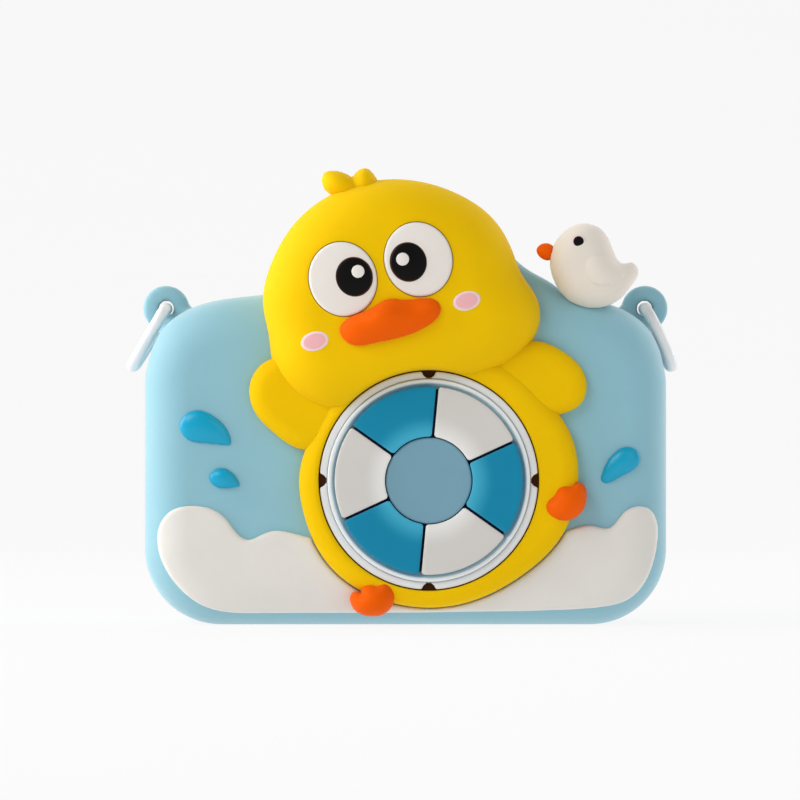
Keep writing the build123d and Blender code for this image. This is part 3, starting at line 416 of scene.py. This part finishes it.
def moulded(name, colour, rough=0.5, grain=0.35, relief=0.012, mottle=0.04, fade=None, **sockets):
    """A moulded surface: grain this many mm wide and deep in the bump, and mottled colour and roughness.

    fade is a second colour, and the two distances from the cap's middle between which it comes in."""
    material = bpy.data.materials.new(name)
    material.use_nodes = True
    nodes, links = material.node_tree.nodes, material.node_tree.links
    shader = nodes["Principled BSDF"]
    for socket, value in sockets.items():
        shader.inputs[socket.replace("_", " ")].default_value = value
    place = nodes.new("ShaderNodeTexCoord").outputs["Object"]

    def noise(size_mm, detail):
        node = nodes.new("ShaderNodeTexNoise")
        node.inputs["Scale"].default_value = 1 / (size_mm * MM)
        node.inputs["Detail"].default_value = detail
        links.new(place, node.inputs["Vector"])
        return node.outputs["Fac"]

    shade = nodes.new("ShaderNodeMix")
    shade.data_type = "RGBA"
    shade.inputs["A"].default_value = (*[c * (1 - mottle) for c in linear(*colour)], 1)
    shade.inputs["B"].default_value = (*[min(c * (1 + mottle), 1) for c in linear(*colour)], 1)
    links.new(noise(9.0, 3), shade.inputs["Factor"])
    tint = shade.outputs["Result"]
    if fade:
        reach = nodes.new("ShaderNodeVectorMath")
        reach.operation = "DISTANCE"
        reach.inputs[1].default_value = (LENS_X * MM, -CAP_FLOOR * MM, LENS_Z * MM)
        links.new(place, reach.inputs[0])
        ramp = nodes.new("ShaderNodeMapRange")
        ramp.interpolation_type = "SMOOTHSTEP"
        ramp.inputs["From Min"].default_value = fade[1] * MM
        ramp.inputs["From Max"].default_value = fade[2] * MM
        ramp.inputs["To Max"].default_value = FADE_STRENGTH
        links.new(reach.outputs["Value"], ramp.inputs["Value"])
        blend = nodes.new("ShaderNodeMix")
        blend.data_type = "RGBA"
        blend.inputs["B"].default_value = (*linear(*fade[0]), 1)
        links.new(ramp.outputs["Result"], blend.inputs["Factor"])
        links.new(tint, blend.inputs["A"])
        tint = blend.outputs["Result"]
    links.new(tint, shader.inputs["Base Color"])

    polish = nodes.new("ShaderNodeMapRange")
    polish.inputs["To Min"].default_value = rough - 0.07
    polish.inputs["To Max"].default_value = rough + 0.07
    links.new(noise(2.5, 4), polish.inputs["Value"])
    links.new(polish.outputs["Result"], shader.inputs["Roughness"])

    bump = nodes.new("ShaderNodeBump")
    bump.inputs["Strength"].default_value = 0.5
    bump.inputs["Distance"].default_value = relief * MM
    links.new(noise(grain, 3), bump.inputs["Height"])
    links.new(bump.outputs["Normal"], shader.inputs["Normal"])
    return material


def silicone(name, colour, **changes):
    """Matt moulded silicone: fine mould texture, hardly any gloss and a little light let through."""
    settings = {"rough": 0.62, "Specular_IOR_Level": 0.05, "Subsurface_Weight": 0.15,
                "Subsurface_Scale": 2 * MM, "Sheen_Weight": 0.22, "Sheen_Roughness": 0.5}
    return moulded(name, colour, **{**settings, **changes})


CASE_BLUE = silicone("case blue silicone", (138, 188, 202), Sheen_Weight=0.45, Specular_IOR_Level=0.4)
DUCK_YELLOW = silicone("duck yellow silicone", (237, 192, 0), Sheen_Weight=0.03)
BEAK_ORANGE = silicone("beak orange silicone", (238, 95, 0), rough=0.5, Sheen_Weight=0.03)
FOAM_CREAM = silicone("foam cream silicone", (224, 221, 215))
BIRD_WHITE = silicone("bird white silicone", (230, 222, 211))
DROP_CYAN = moulded("glossy cyan drop", (0, 160, 198), rough=0.3, relief=0.004, Specular_IOR_Level=0.35)
EYE_WHITE = silicone("eye white silicone", (232, 225, 218), rough=0.4)
# Brown for a ring a little wider than each eye white: painted shade, the dark line that falls in the gap round
# the inlay.
EYE_SHADE_RING = moulded("brown painted eye shade", (126, 88, 6), rough=0.6, Specular_IOR_Level=0.1)
PUPIL_BLACK = moulded("pupil black", (8, 7, 7), rough=0.35, relief=0.004, Specular_IOR_Level=0.12)
PUPIL_RIM = moulded("brown rim", (80, 38, 10), rough=0.5, Specular_IOR_Level=0.1)
CHEEK_PINK = silicone("cheek pink silicone", (240, 180, 184))
CHEEK_RIM = silicone("cheek rim silicone", (244, 214, 214))
BEZEL_WHITE = moulded("bezel white plastic", (222, 224, 224), rough=0.3, relief=0.004)
CAP_PALE_BLUE = moulded("cap pale blue plastic", (230, 235, 237), rough=0.3, relief=0.004,
                        fade=((120, 196, 220), CAP_RIM_INNER + 0.9, CAP_RIM_INNER + 0.2))
# Pads turn lighter towards their inner edge: painted light that stands in for the shading of their crowned tops.
PAD_PAINTED_LIGHT = (SEGMENT_INNER + 4.5, SEGMENT_INNER)
SEGMENT_WHITE = moulded("segment white plastic", (206, 203, 198), rough=0.42, relief=0.006,
                        fade=((242, 241, 238), *PAD_PAINTED_LIGHT), Sheen_Weight=0.4)
SEGMENT_BLUE = moulded("segment blue plastic", (0, 130, 166), rough=0.42, relief=0.006,
                       fade=((80, 190, 218), *PAD_PAINTED_LIGHT), Specular_IOR_Level=0.12, Sheen_Weight=0.3)
CAP_CENTRE = moulded("cap centre grey-blue", (112, 156, 174), rough=0.5, relief=0.008)
# Navy for the bed under the gaps between the pads: painted shade of the grooves.
CAP_GROOVE_SHADE = moulded("cap groove painted shade navy", (4, 26, 52), rough=0.6, Specular_IOR_Level=0.1)
# Dark brown for the ring behind the gap round the lens: painted shade, where the gap is only in shadow.
GAP_SHADE_BROWN = moulded("painted gap shade brown", (60, 30, 8), rough=0.7, Specular_IOR_Level=0.1)
RING_PLASTIC = moulded("ring plastic", (236, 237, 238), rough=0.35, relief=0.004)
SHELL_WHITE = moulded("shell white plastic", (228, 228, 225), rough=0.4, relief=0.008)
LENS_BLACK = moulded("lens black plastic", (22, 22, 24), rough=0.42, relief=0.008)
LENS_GLASS = moulded("coated lens glass", (18, 16, 38), rough=0.09, relief=0.0005, Coat_Weight=1.0)
FLASH_CLEAR = moulded("frosted flash window", (236, 232, 214), rough=0.25, relief=0.01)
LED_YELLOW = moulded("flash lamp yellow", (250, 214, 84), rough=0.3)
BOARD_GREEN = moulded("circuit board green", (22, 96, 62), rough=0.35, grain=1.4, relief=0.03, mottle=0.3)
SWITCH_BLACK = moulded("switch black plastic", (30, 30, 32), rough=0.5)
BUTTON_BLUE = silicone("button blue silicone", (38, 150, 205), rough=0.5)
DISPLAY_BLACK = moulded("display black", (10, 11, 14), rough=0.3, relief=0.002)
DISPLAY_GLASS = moulded("smoked display glass", (52, 56, 62), rough=0.1, relief=0.0005,
                        Transmission_Weight=0.85)
BATTERY_WRAP = moulded("battery wrap blue", (36, 88, 160), rough=0.3, relief=0.02, mottle=0.1)
BRIGHT_METAL = moulded("bright metal", (196, 196, 198), rough=0.28, grain=0.2, relief=0.006, Metallic=1.0)
KEY_YELLOW = silicone("key yellow silicone", (248, 200, 12), rough=0.5, Sheen_Weight=0.08)
KEY_ORANGE = silicone("key orange silicone", (243, 118, 18), rough=0.5, Sheen_Weight=0.08)

FINISHES = (
    (SHELL_WHITE, ("front_shell", "rear_shell")),
    (LENS_BLACK, ("lens_panel", "lens_barrel", "display_holder", "rear_lens")),
    (LENS_GLASS, ("lens_glass", "rear_lens_glass")),
    (FLASH_CLEAR, ("flash_window",)),
    (LED_YELLOW, ("flash_led",)),
    (BOARD_GREEN, ("main_board", "image_sensor_board")),
    (SWITCH_BLACK, ("tact_switches", "shutter_switch", "processor_chip", "speaker")),
    (DISPLAY_BLACK, ("display_panel", "display_mask")),
    (DISPLAY_GLASS, ("display_window",)),
    (BATTERY_WRAP, ("battery",)),
    (BRIGHT_METAL, ("case_screws", "board_screws", "microphone", "usb_socket", "card_socket")),
    (CASE_BLUE, ("port_cover",)),
    (BUTTON_BLUE, ("shutter_button", "up_key", "down_key", "left_key", "right_key", "mode_key", "menu_key",
                   "playback_key")),
    (KEY_YELLOW, ("ok_key",)),
    (KEY_ORANGE, ("power_key",)),
)


def finish_cad_parts():
    """Gives each CAD part that stays visible its own material."""
    for material, nodes in FINISHES:
        for node in nodes:
            for slot in frame["nodes"][node].material_slots:
                slot.material = material


# ---- Silicone case ---------------------------------------------------------------------------
LUG_RADIUS, LUG_HOLE, LUG_HALF_THICKNESS = 4.4, 1.55, 2.5
HUMP_BACK, HUMP_FRONT = -6.0, 12.0


def make_case():
    """The blue case: block, hump, lugs and every opening."""
    space = around("silicone_case", 0.62)
    field = case_solid(space)
    hump_plan = space.flat(outline(space, closed_curve(HUMP)))
    hump = meet(meet(hump_plan, space.depth - HUMP_FRONT, 2.5), HUMP_BACK - space.depth, 4.0)
    field = join(field, hump, 4.0)
    pivots = [HINGES["strap_ring_left_swing"], HINGES["strap_ring_right_swing"]]
    for pivot in pivots:
        disc = space.flat(round_plan(space, pivot[0], pivot[2], LUG_RADIUS))
        field = join(field, meet(disc, np.abs(space.y - pivot[1]) - LUG_HALF_THICKNESS, 1.0), 1.6)
    for pivot in pivots:
        hole = space.flat(round_plan(space, pivot[0], pivot[2], LUG_HOLE))
        field = cut(field, np.maximum(hole, np.abs(space.y - pivot[1]) - 2 * LUG_HALF_THICKNESS), 0.7)
    field = cut(field, shell_solid(space, 0.1, REAR_BACK - 0.1, SKIN_FRONT + 0.1), 0.1)
    field = cut(field, shell_solid(space, -LIP_WIDTH, CASE_BACK - 9, 0), 1.0)
    field = np.maximum(field, -np.maximum(lens_hole(space), space.y))
    field = cut(field, shutter_well(space, 0.5), 1.2)
    field = cut(field, port_well(space, 0.2), 0.8)
    piece = skin("case_skin", space, field, CASE_BLUE)
    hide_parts("silicone_case")



def shutter_well(space, gap):
    """The slot in the case's top around the shutter button."""
    low, high = box_mm("shutter_button")
    half_x, half_y = ((high[i] - low[i]) / 2 - BUTTON_FLANGE + gap for i in (0, 1))
    plan = rounded_rectangle(space.x - (low[0] + high[0]) / 2, space.y, half_x, half_y, half_y)
    return np.maximum(plan, SHELL_HIGH[2] - 1 - space.z)


def port_well(space, gap):
    """The pocket in the case's side around the port cover."""
    low, high = box_mm("port_cover")
    half_y, half_z = (high[1] - low[1]) / 2 + gap, (high[2] - low[2]) / 2 + gap
    plan = rounded_rectangle(
        space.y - (low[1] + high[1]) / 2, space.z - (low[2] + high[2]) / 2, half_y, half_z, 1.2
    )
    return np.maximum(plan, SHELL_HIGH[0] - 1 - space.x)


# ---- Duck ------------------------------------------------------------------------------------
HEAD_BACK = back_of("duck_head")
FACE_DOME = 1.3
FACE_TILT = radians(15)


def face_depth(x, z):
    """Depth of the duck's face, which falls away gently from its middle."""
    low, high = box_mm("duck_head")
    across = (x - (low[0] + high[0]) / 2) / (high[0] - low[0]) * 2
    up = (z - (low[2] + high[2]) / 2) / (high[2] - low[2]) * 2
    return HEAD_FRONT - FACE_DOME * (across**2 + up**2)


def on_case(space, field):
    """A shape without what lies more than a hair inside the case."""
    return np.maximum(field, -(case_solid(space) + RELIEF_ROOT))


def make_head():
    space = around("duck_head", 0.36)
    plan = space.flat(outline(space, closed_curve(HEAD)))
    field = meet(plan, space.depth - face_depth(space.x, space.z), 10.0, 9.5)
    field = meet(field, HEAD_BACK - space.depth, 2.5)
    field = cut(on_case(space, field), lens_hole(space), 0.8)
    piece = skin("duck_head_skin", space, field, DUCK_YELLOW)
    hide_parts("duck_head")


def make_belly():
    space = around("duck_belly_ring", 0.3)
    plan = space.flat(outline(space, closed_curve(BELLY)))
    field = meet(plan, space.depth - front_of("duck_belly_ring"), 3.5, 2.8)
    field = cut(on_case(space, field), lens_hole(space, CASE_LENS_OPENING - 0.2), 0.6)
    piece = skin("duck_belly_skin", space, field, DUCK_YELLOW)
    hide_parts("duck_belly_ring")


def make_wings():
    space = around("duck_wings", 0.3)
    plans = [outline(space, closed_curve(w)) for w in (WING_LEFT, WING_RIGHT)]
    plan = space.flat(np.minimum(*plans))
    field = meet(plan, space.depth - front_of("duck_wings"), 3.2, 2.4)
    field = np.maximum(on_case(space, field), -lens_hole(space))
    piece = skin("duck_wings_skin", space, field, DUCK_YELLOW)
    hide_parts("duck_wings")


def swollen(space, plan, mid, half):
    """A cushion-like body about a middle depth, half as thick as given at its highest."""
    return ((space.depth - mid) / half) ** 2 - space.flat(puff(plan, space.pitch))


def make_crest():
    space = around("duck_crest", 0.2, 0.3)
    mid, half = thickness_of("duck_crest")
    lobes = [swollen(space, outline(space, closed_curve(c)), mid, half) for c in (CREST_LEFT, CREST_RIGHT)]
    piece = skin("duck_crest_skin", space, join(lobes[0], lobes[1], 0.15), DUCK_YELLOW)
    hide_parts("duck_crest")


def make_beak():
    space = around("duck_beak", 0.2, 0.3)
    swell = space.flat(puff(outline(space, closed_curve(BEAK)), space.pitch))
    base = face_depth(space.x, space.z)
    knuckle = 0.3 * np.exp(-(((space.x + 5) / 3.4) ** 2) - ((space.z - 58.8) / 2.2) ** 2)
    saddle = 0.3 * np.exp(-(((space.x - 1.5) / 3.2) ** 2) - ((space.z - 60.4) / 1.5) ** 2)
    height = (front_of("duck_beak") - HEAD_FRONT) / 1.25
    rise = (space.depth - base) / height
    field = rise - np.sign(swell) * np.sqrt(np.abs(swell)) * (1 + knuckle - saddle)
    field = np.maximum(field, base - 1.0 - space.depth)
    piece = skin("duck_beak_skin", space, field, BEAK_ORANGE)
    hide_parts("duck_beak")


def make_feet():
    space = around("duck_feet", 0.22, 0.2)
    base = CASE_FRONT + 2.0
    height = front_of("duck_feet") - base
    plans = [outline(space, closed_curve(f)) for f in (FOOT_LEFT, FOOT_RIGHT)]
    rise = np.maximum(space.depth - base, 0) / height
    swell = space.flat(np.maximum(puff(plans[0], space.pitch), puff(plans[1], space.pitch)))
    field = on_case(space, rise**2 - swell)
    piece = skin("duck_feet_skin", space, field, BEAK_ORANGE)
    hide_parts("duck_feet")


INLAY_ROOT = -0.6  # how far the eyes and cheeks reach into the face
EDGE_ROLL = 0.03  # share of an inlay's size over which its edge rolls down
EYE_HALF, EYE_SHADE_RING_WIDTH = np.array((6.4, 7.05)), 0.15
PUPIL_HALF, PUPIL_RIM_WIDTH = np.array((3.4, 3.65)), 0.22
GLINT_HALF, CHEEK_HALF = (1.25, 1.25), (2.65, 1.8)
CHEEK_RISE, CHEEK_RIM_START = 0.3, 0.86

def dome(height, edge, rings=14):
    """A profile that rises to height in the middle and rolls over at its edge."""
    profile = []
    for ring in range(1, rings + 1):
        scale = sin(pi / 2 * ring / rings)
        if scale < 1 - EDGE_ROLL:
            profile.append((scale, edge + (height - edge) * (1 - scale * scale), 0))
        else:
            profile.append((scale, edge * (1 - scale) / EDGE_ROLL, 0))
    return profile + [(1.0, INLAY_ROOT, 0)]

def on_face(name, place, half, profile, *materials):
    """An oval inlay on the duck's face, tilted as the eyes are."""
    return oval_inlay(name, place, half, FACE_TILT, face_depth, profile, list(materials))

def make_face():
    """Eyes, pupils, glints and cheeks, laid on the face at the places of their CAD nodes."""
    nodes = ("duck_eye_whites", "duck_pupils", "duck_eye_glints", "duck_cheeks")
    whites, pupils, glints, cheeks = (pair_of(node) for node in nodes)
    for side, place in whites.items():
        # Under each eye white lies a slightly wider brown ring, which is painted shade of the gap round the
        # inlay.
        shade_ring = on_face(f"eye_shade_ring_{side}", place, EYE_HALF + EYE_SHADE_RING_WIDTH, dome(0.06, 0.05), EYE_SHADE_RING)
        white = on_face(f"eye_white_{side}", place, EYE_HALF, dome(0.8, 0.5), EYE_WHITE)
        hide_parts("duck_eye_whites")
    for side, place in pupils.items():
        rim = on_face(f"pupil_rim_{side}", place, PUPIL_HALF + PUPIL_RIM_WIDTH, dome(0.86, 0.8), PUPIL_RIM)
        pupil = on_face(f"pupil_{side}", place, PUPIL_HALF, dome(1.15, 0.95), PUPIL_BLACK)
        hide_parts("duck_pupils")
    for side, place in glints.items():
        glint = on_face(f"glint_{side}", place, GLINT_HALF, dome(1.45, 1.3), EYE_WHITE)
        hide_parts("duck_eye_glints")
    scales = np.linspace(0.1, 0.999, 14)
    profile = [(s, CHEEK_RISE * (1 - s**4), 0 if s < CHEEK_RIM_START else 1) for s in scales]
    profile.append((1.0, INLAY_ROOT, 1))
    for side, place in cheeks.items():
        cheek = on_face(f"cheek_{side}", place, CHEEK_HALF, profile, CHEEK_PINK, CHEEK_RIM)
        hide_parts("duck_cheeks")

def pair_of(node):
    """Centres of the two solids of a mirrored CAD node, found from which side of its middle each point is."""
    verts = np.array([v.co for v in frame["nodes"][node].data.vertices]) / MM
    middle = (verts[:, 0].min() + verts[:, 0].max()) / 2
    pair = {}
    for side, half in (("left", verts[verts[:, 0] < middle]), ("right", verts[verts[:, 0] > middle])):
        low, high = half.min(0), half.max(0)
        pair[side] = ((low[0] + high[0]) / 2, (low[2] + high[2]) / 2)
    return pair


# ---- Foam wave and drops ------------------------------------------------------------------------
FOAM_RISE, FOAM_ROUNDING = 1.0, 0.7
BELLY_SEAM = 0.25  # gap between the foam and the belly ring

def make_foam():
    space = around("foam_wave", 0.33, 0.2)
    case = case_solid(space)
    plan = np.maximum(outline(space, closed_curve(FOAM)), BELLY_SEAM - outline(space, closed_curve(BELLY)))
    field = meet(space.flat(plan), case - FOAM_RISE, FOAM_ROUNDING)
    field = np.maximum(np.maximum(field, -(case + RELIEF_ROOT)), -lens_hole(space))
    piece = skin("foam_skin", space, field, FOAM_CREAM)
    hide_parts("foam_wave")


def make_drops():
    space = around("water_drops", 0.22, 0.3)
    case = case_solid(space)
    swell = np.full((len(space.xs), len(space.zs)), -np.inf)
    for drop in DROPS:
        swell = np.maximum(swell, puff(outline(space, closed_curve(drop)), space.pitch, 260))
    height = front_of("water_drops") - CASE_FRONT
    field = (np.maximum(case, 0) / height) ** 2 - space.flat(swell)
    piece = skin("drops_skin", space, np.maximum(field, -(case + RELIEF_ROOT)), DROP_CYAN)
    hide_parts("water_drops")


# ---- Bird ----------------------------------------------------------------------------------------
WING_RISE, WING_ROOM = 0.7, 0.4
BIRD_EYE, BIRD_EYE_RIM = (1.0, 1.0), (1.2, 1.2)

def make_bird():
    space = around("bird_body", 0.24, 0.3)
    mid, half = thickness_of("bird_body")
    half -= WING_ROOM
    body = puff(outline(space, closed_curve(BIRD)), space.pitch)
    wing = np.maximum(puff(outline(space, closed_curve(BIRD_WING)), space.pitch), 0)
    rise = np.maximum(np.abs(space.depth - mid) - WING_RISE * space.flat(np.sqrt(wing)), 0) / half
    field = on_case(space, rise**2 - space.flat(body))
    piece = skin("bird_skin", space, field, BIRD_WHITE)
    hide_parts("bird_body")
    x, z = centre_of("bird_eye")
    swell = body[int((x - space.low[0]) / space.pitch), int((z - space.low[2]) / space.pitch)]
    level = mid + half * np.sqrt(swell)
    rim = oval_inlay("bird_eye_rim", (x, z), BIRD_EYE_RIM, 0, lambda px, pz: level, dome(0.1, 0.05), [CHEEK_RIM])
    eye = oval_inlay("bird_eye_bead", (x, z), BIRD_EYE, 0, lambda px, pz: level, dome(0.35, 0.15), [PUPIL_BLACK])
    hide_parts("bird_eye")

    space = around("bird_beak", 0.12, 0.4)
    field = swollen(space, outline(space, closed_curve(BIRD_BEAK)), *thickness_of("bird_beak"))
    beak = skin("bird_beak_skin", space, field, BEAK_ORANGE)
    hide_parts("bird_beak")


# ---- Lens group -------------------------------------------------------------------------------
BEZEL_INNER, NOTCH_RADIUS = 19.25, 1.25
SEGMENT_START = radians(24.7)
PAD_CROWN = 0.8  # how much lower a pad's inner and outer edges are than its middle
PLUG_STEP, SEAT_HEIGHT, SKIRT_WIDTH, FLOOR_THICKNESS = 0.8, 1.2, 1.4, 1.1


def make_bezel():
    space = around("lens_bezel", 0.2)
    radius = radius_of("lens_bezel")
    outer, inner = (round_plan(space, LENS_X, LENS_Z, r) for r in (radius, BEZEL_INNER))
    ring = np.maximum(outer, -inner)
    for quarter in range(4):
        x, z = LENS_X + radius * cos(quarter * pi / 2), LENS_Z + radius * sin(quarter * pi / 2)
        ring = cut(ring, round_plan(space, x, z, NOTCH_RADIUS), 0.4)
    field = meet(space.flat(ring), space.depth - front_of("lens_bezel"), 0.3)
    piece = skin("bezel_ring", space, np.maximum(field, back_of("lens_bezel") - space.depth), BEZEL_WHITE)
    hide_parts("lens_bezel")
    # A dark brown ring fills the gap between the bezel and the case's lens opening and shows in the notches:
    # painted shade of the gap.
    low, high = back_of("lens_bezel") - 1.0, front_of("lens_bezel") - 0.9
    near, far = BEZEL_INNER + 0.3, CASE_LENS_OPENING + 0.1
    shape = [(near, low), (far, low), (far, high), (near, high)]
    gap_shade = turned("lens_gap_shade", soften(shape, 0.15), GAP_SHADE_BROWN)


def make_cap():
    """The swim-ring cap: rim and floor, six crowned pads and the centre disc."""
    rim, front, back = radius_of("lens_cap_base"), front_of("lens_cap_base"), back_of("lens_cap_base")
    plug, seat = rim - PLUG_STEP, back + SEAT_HEIGHT
    inner, skirt, under = CAP_RIM_INNER, plug - SKIRT_WIDTH, CAP_FLOOR - FLOOR_THICKNESS
    shape = [(0, CAP_FLOOR), (inner, CAP_FLOOR), (inner, front - 1.2), (inner + 0.6, front), (rim, front),
             (rim, seat), (plug, seat), (plug, back), (skirt, back), (skirt, under), (0, under)]
    base = turned("cap_dish", soften(shape, 0.3), CAP_PALE_BLUE, "lens_cap")
    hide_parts("lens_cap_base")
    # A dark navy bed under the pads shows through the gaps between them: painted shade of the grooves.
    bed_inner, bed_outer = SEGMENT_INNER - 0.2, SEGMENT_OUTER - 0.5
    low, high = CAP_FLOOR - 0.1, CAP_FLOOR + 1.1
    bed = [(bed_inner, low), (bed_outer, low), (bed_outer, high), (bed_inner, high)]
    groove_shade = turned("cap_groove_shade", bed, CAP_GROOVE_SHADE, "lens_cap")

    space = around("lens_cap_base", 0.2)
    x, z = space.xs[:, None] - LENS_X, space.zs[None, :] - LENS_Z
    r = np.hypot(x, z)
    ring = np.maximum(r - SEGMENT_OUTER, SEGMENT_INNER - r)
    half_width = (SEGMENT_OUTER - SEGMENT_INNER) / 2
    crown = PAD_CROWN * ((r - SEGMENT_INNER - half_width) / half_width) ** 2
    pads = (("white", 0, SEGMENT_WHITE), ("blue", 1, SEGMENT_BLUE))
    for colour, first, material in pads:
        node = f"lens_cap_{colour}_segments"
        plan = np.full(r.shape, np.inf)
        for turn in range(3):
            centre = SEGMENT_START + radians(30 + 60 * first + 120 * turn)
            along, aside = x * cos(centre) + z * sin(centre), z * cos(centre) - x * sin(centre)
            wedge = np.abs(aside) * cos(pi / 6) - along * sin(pi / 6) + SEGMENT_GAP / 2
            plan = np.minimum(plan, meet(ring, wedge, 0.55))
        top = front_of(node) - space.flat(crown)
        field = np.maximum(meet(space.flat(plan), space.depth - top, 0.5), CAP_FLOOR - 0.1 - space.depth)
        piece = skin(f"cap_pads_{colour}", space, field, material, "lens_cap")
        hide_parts(node)

    radius, top = radius_of("lens_cap_centre"), front_of("lens_cap_centre")
    dish = [(0, top - 0.25), (radius * 0.5, top - 0.18), (radius * 0.88, top), (radius, top),
            (radius, CAP_FLOOR), (0, CAP_FLOOR)]
    disc = turned("cap_centre_disc", soften(dish, 0.5), CAP_CENTRE, "lens_cap")
    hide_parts("lens_cap_centre")


# ---- Strap rings -------------------------------------------------------------------------------
RING_BOW = {-1: -0.5, 1: 0.8}  # how far each ring's far side bends towards the case, or away below zero


def make_strap_rings():
    hang, wire, corner = radians(28), 1.1, 4.25
    half, length = 7.0, 12.6
    for side, name in ((-1, "strap_ring_left"), (1, "strap_ring_right")):
        pivot = Vector(HINGES[name + "_swing"])
        down = Vector((side * sin(hang), 0, -cos(hang)))
        flat = soften([(-half, 0), (half, 0), (half, length), (-half, length)], corner, steps=14)
        bow = Vector((-side * RING_BOW[side], 0, 0))
        path = [pivot + Vector((0, a, 0)) + down * b + bow * (b / length) ** 2 for a, b in flat]
        ring = tube(name + "_wire", path, wire, RING_PLASTIC, name)
        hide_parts(name)


# ---- Icons on the keys ----------------------------------------------------------------------------
ICON_REACH, ICON_ROOT, ICON_RISE = 1.2, 0.2, 0.12


def triangle(angle):
    """An arrowhead that points along angle, in the plane of the keys."""
    corners = (angle, angle + radians(125), angle - radians(125))
    return [(ICON_REACH * cos(a), ICON_REACH * sin(a)) for a in corners]


def bar(x, z, width, height):
    """An upright rectangle about a point."""
    return [(x - width / 2, z - height / 2), (x + width / 2, z - height / 2), (x + width / 2, z + height / 2),
            (x - width / 2, z + height / 2)]


def hoop(start, end, inner, outer, steps=28):
    """Part of a flat ring, from one angle to another."""
    turns = np.linspace(start, end, steps)
    there = [(outer * cos(a), outer * sin(a)) for a in turns]
    return there + [(inner * cos(a), inner * sin(a)) for a in turns[::-1]]


def make_key_icons():
    """Raised generic symbols, which ride on the keys."""
    ok_x, ok_z = centre_of("ok_key")
    icons = {
        "ok_key": [hoop(radians(5), radians(175), 1.1, 1.6), hoop(radians(185), radians(355), 1.1, 1.6)],
        "power_key": [hoop(radians(125), radians(415), 0.85, 1.2), bar(0, 0.8, 0.32, 1.0)],
        "mode_key": [bar(x, z, 0.8, 0.8) for x in (-0.6, 0.6) for z in (-0.6, 0.6)],
        "menu_key": [bar(0, z, 2.0, 0.36) for z in (-0.75, 0, 0.75)],
        "playback_key": [triangle(pi)],
    }
    for key in ("up_key", "down_key", "left_key", "right_key"):
        x, z = centre_of(key)
        icons[key] = [triangle(np.arctan2(z - ok_z, x - ok_x))]
    for key, shapes in icons.items():
        x, z = centre_of(key)
        top = box_mm(key)[1][1]
        verts, faces = [], []
        for shape in shapes:
            base, count = len(verts), len(shape)
            verts += [(x + u, y, z + v) for y in (top - ICON_ROOT, top + ICON_RISE) for u, v in shape]
            faces += [list(range(base, base + count)), list(range(base + count, base + 2 * count))]
            for i in range(count):
                after = (i + 1) % count
                faces.append([base + i, base + after, base + count + after, base + count + i])
        icon = new_piece(key + "_icon", verts, faces, SHELL_WHITE, key)
        icon.data.polygons.foreach_set("use_smooth", [False] * len(faces))
        face_outwards(icon)
        edge = icon.modifiers.new("edge", "BEVEL")
        edge.width, edge.segments = 0.05 * MM, 2


# ---- Stage ------------------------------------------------------------------------------------
FLOOR_GREY = (90, 90, 90)
FLOOR_GLOW = 0.86


def make_stage():
    """A pale floor that curves up into a backdrop."""
    profile = [(-2.5, 0.0), (0.5, 0.0)]
    profile += [(0.5 + 0.5 * sin(a), 0.5 - 0.5 * cos(a)) for a in np.linspace(0.1, pi / 2, 16)] + [(1.0, 3.0)]
    verts = [(x, y, z) for y, z in profile for x in (-3.0, 3.0)]
    faces = [[2 * i, 2 * i + 1, 2 * i + 3, 2 * i + 2] for i in range(len(profile) - 1)]
    mesh = bpy.data.meshes.new("floor")
    mesh.from_pydata(verts, [], faces)
    floor = bpy.data.objects.new("floor", mesh)
    bpy.context.scene.collection.objects.link(floor)
    material = moulded("pale floor", FLOOR_GREY, rough=0.9, grain=3.0, relief=0.02, mottle=0.005,
                       Specular_IOR_Level=0)
    shader = material.node_tree.nodes["Principled BSDF"]
    shader.inputs["Emission Color"].default_value = (1, 1, 1, 1)
    shader.inputs["Emission Strength"].default_value = FLOOR_GLOW
    mesh.materials.append(material)


def area_light(name, place, aim, size, power):
    lamp = bpy.data.lights.new(name, "AREA")
    lamp.shape = "RECTANGLE"
    lamp.size, lamp.size_y = size
    lamp.energy = power
    light = bpy.data.objects.new(name, lamp)
    light.location = place
    light.rotation_euler = (Vector(aim) - Vector(place)).to_track_quat("-Z", "Y").to_euler()
    bpy.context.scene.collection.objects.link(light)


def make_lights():
    middle = (0, 0, 0.04)
    area_light("key", (-0.55, -0.65, 0.62), middle, (0.5, 0.5), 3.1)
    area_light("left rim", (-0.6, 0.0, 0.22), middle, (0.5, 0.7), 4.6)
    area_light("right rim", (0.55, 0.3, 0.25), middle, (0.4, 0.6), 1.6)
    area_light("front fill", (0.6, -0.75, 0.4), middle, (0.6, 0.6), 1.1)
    world = bpy.data.worlds.new("studio")
    world.use_nodes = True
    sky = world.node_tree.nodes["Background"]
    sky.inputs["Color"].default_value = (1, 1, 1, 1)
    sky.inputs["Strength"].default_value = 0.33
    bpy.context.scene.world = world


VIEW_WIDTH = 0.152  # metres across the picture at the lens
VIEW_X, VIEW_Z = -0.00105, 0.04294
CAMERA_DISTANCE = 1.0


def make_camera():
    data = bpy.data.cameras.new("camera")
    data.sensor_width = 36
    data.lens = data.sensor_width * CAMERA_DISTANCE / VIEW_WIDTH
    data.dof.use_dof = False
    camera = bpy.data.objects.new("camera", data)
    camera.location = (VIEW_X, -CASE_FRONT * MM - CAMERA_DISTANCE, VIEW_Z)
    camera.rotation_euler = (pi / 2, 0, 0)
    bpy.context.scene.collection.objects.link(camera)
    bpy.context.scene.camera = camera


make_camera()
finish_cad_parts()
make_case()
make_head()
make_belly()
make_wings()
make_crest()
make_beak()
make_feet()
make_face()
make_foam()
make_drops()
make_bird()
make_bezel()
make_cap()
make_strap_rings()
make_key_icons()
make_stage()
make_lights()
bpy.context.scene.view_settings.view_transform = "Standard"
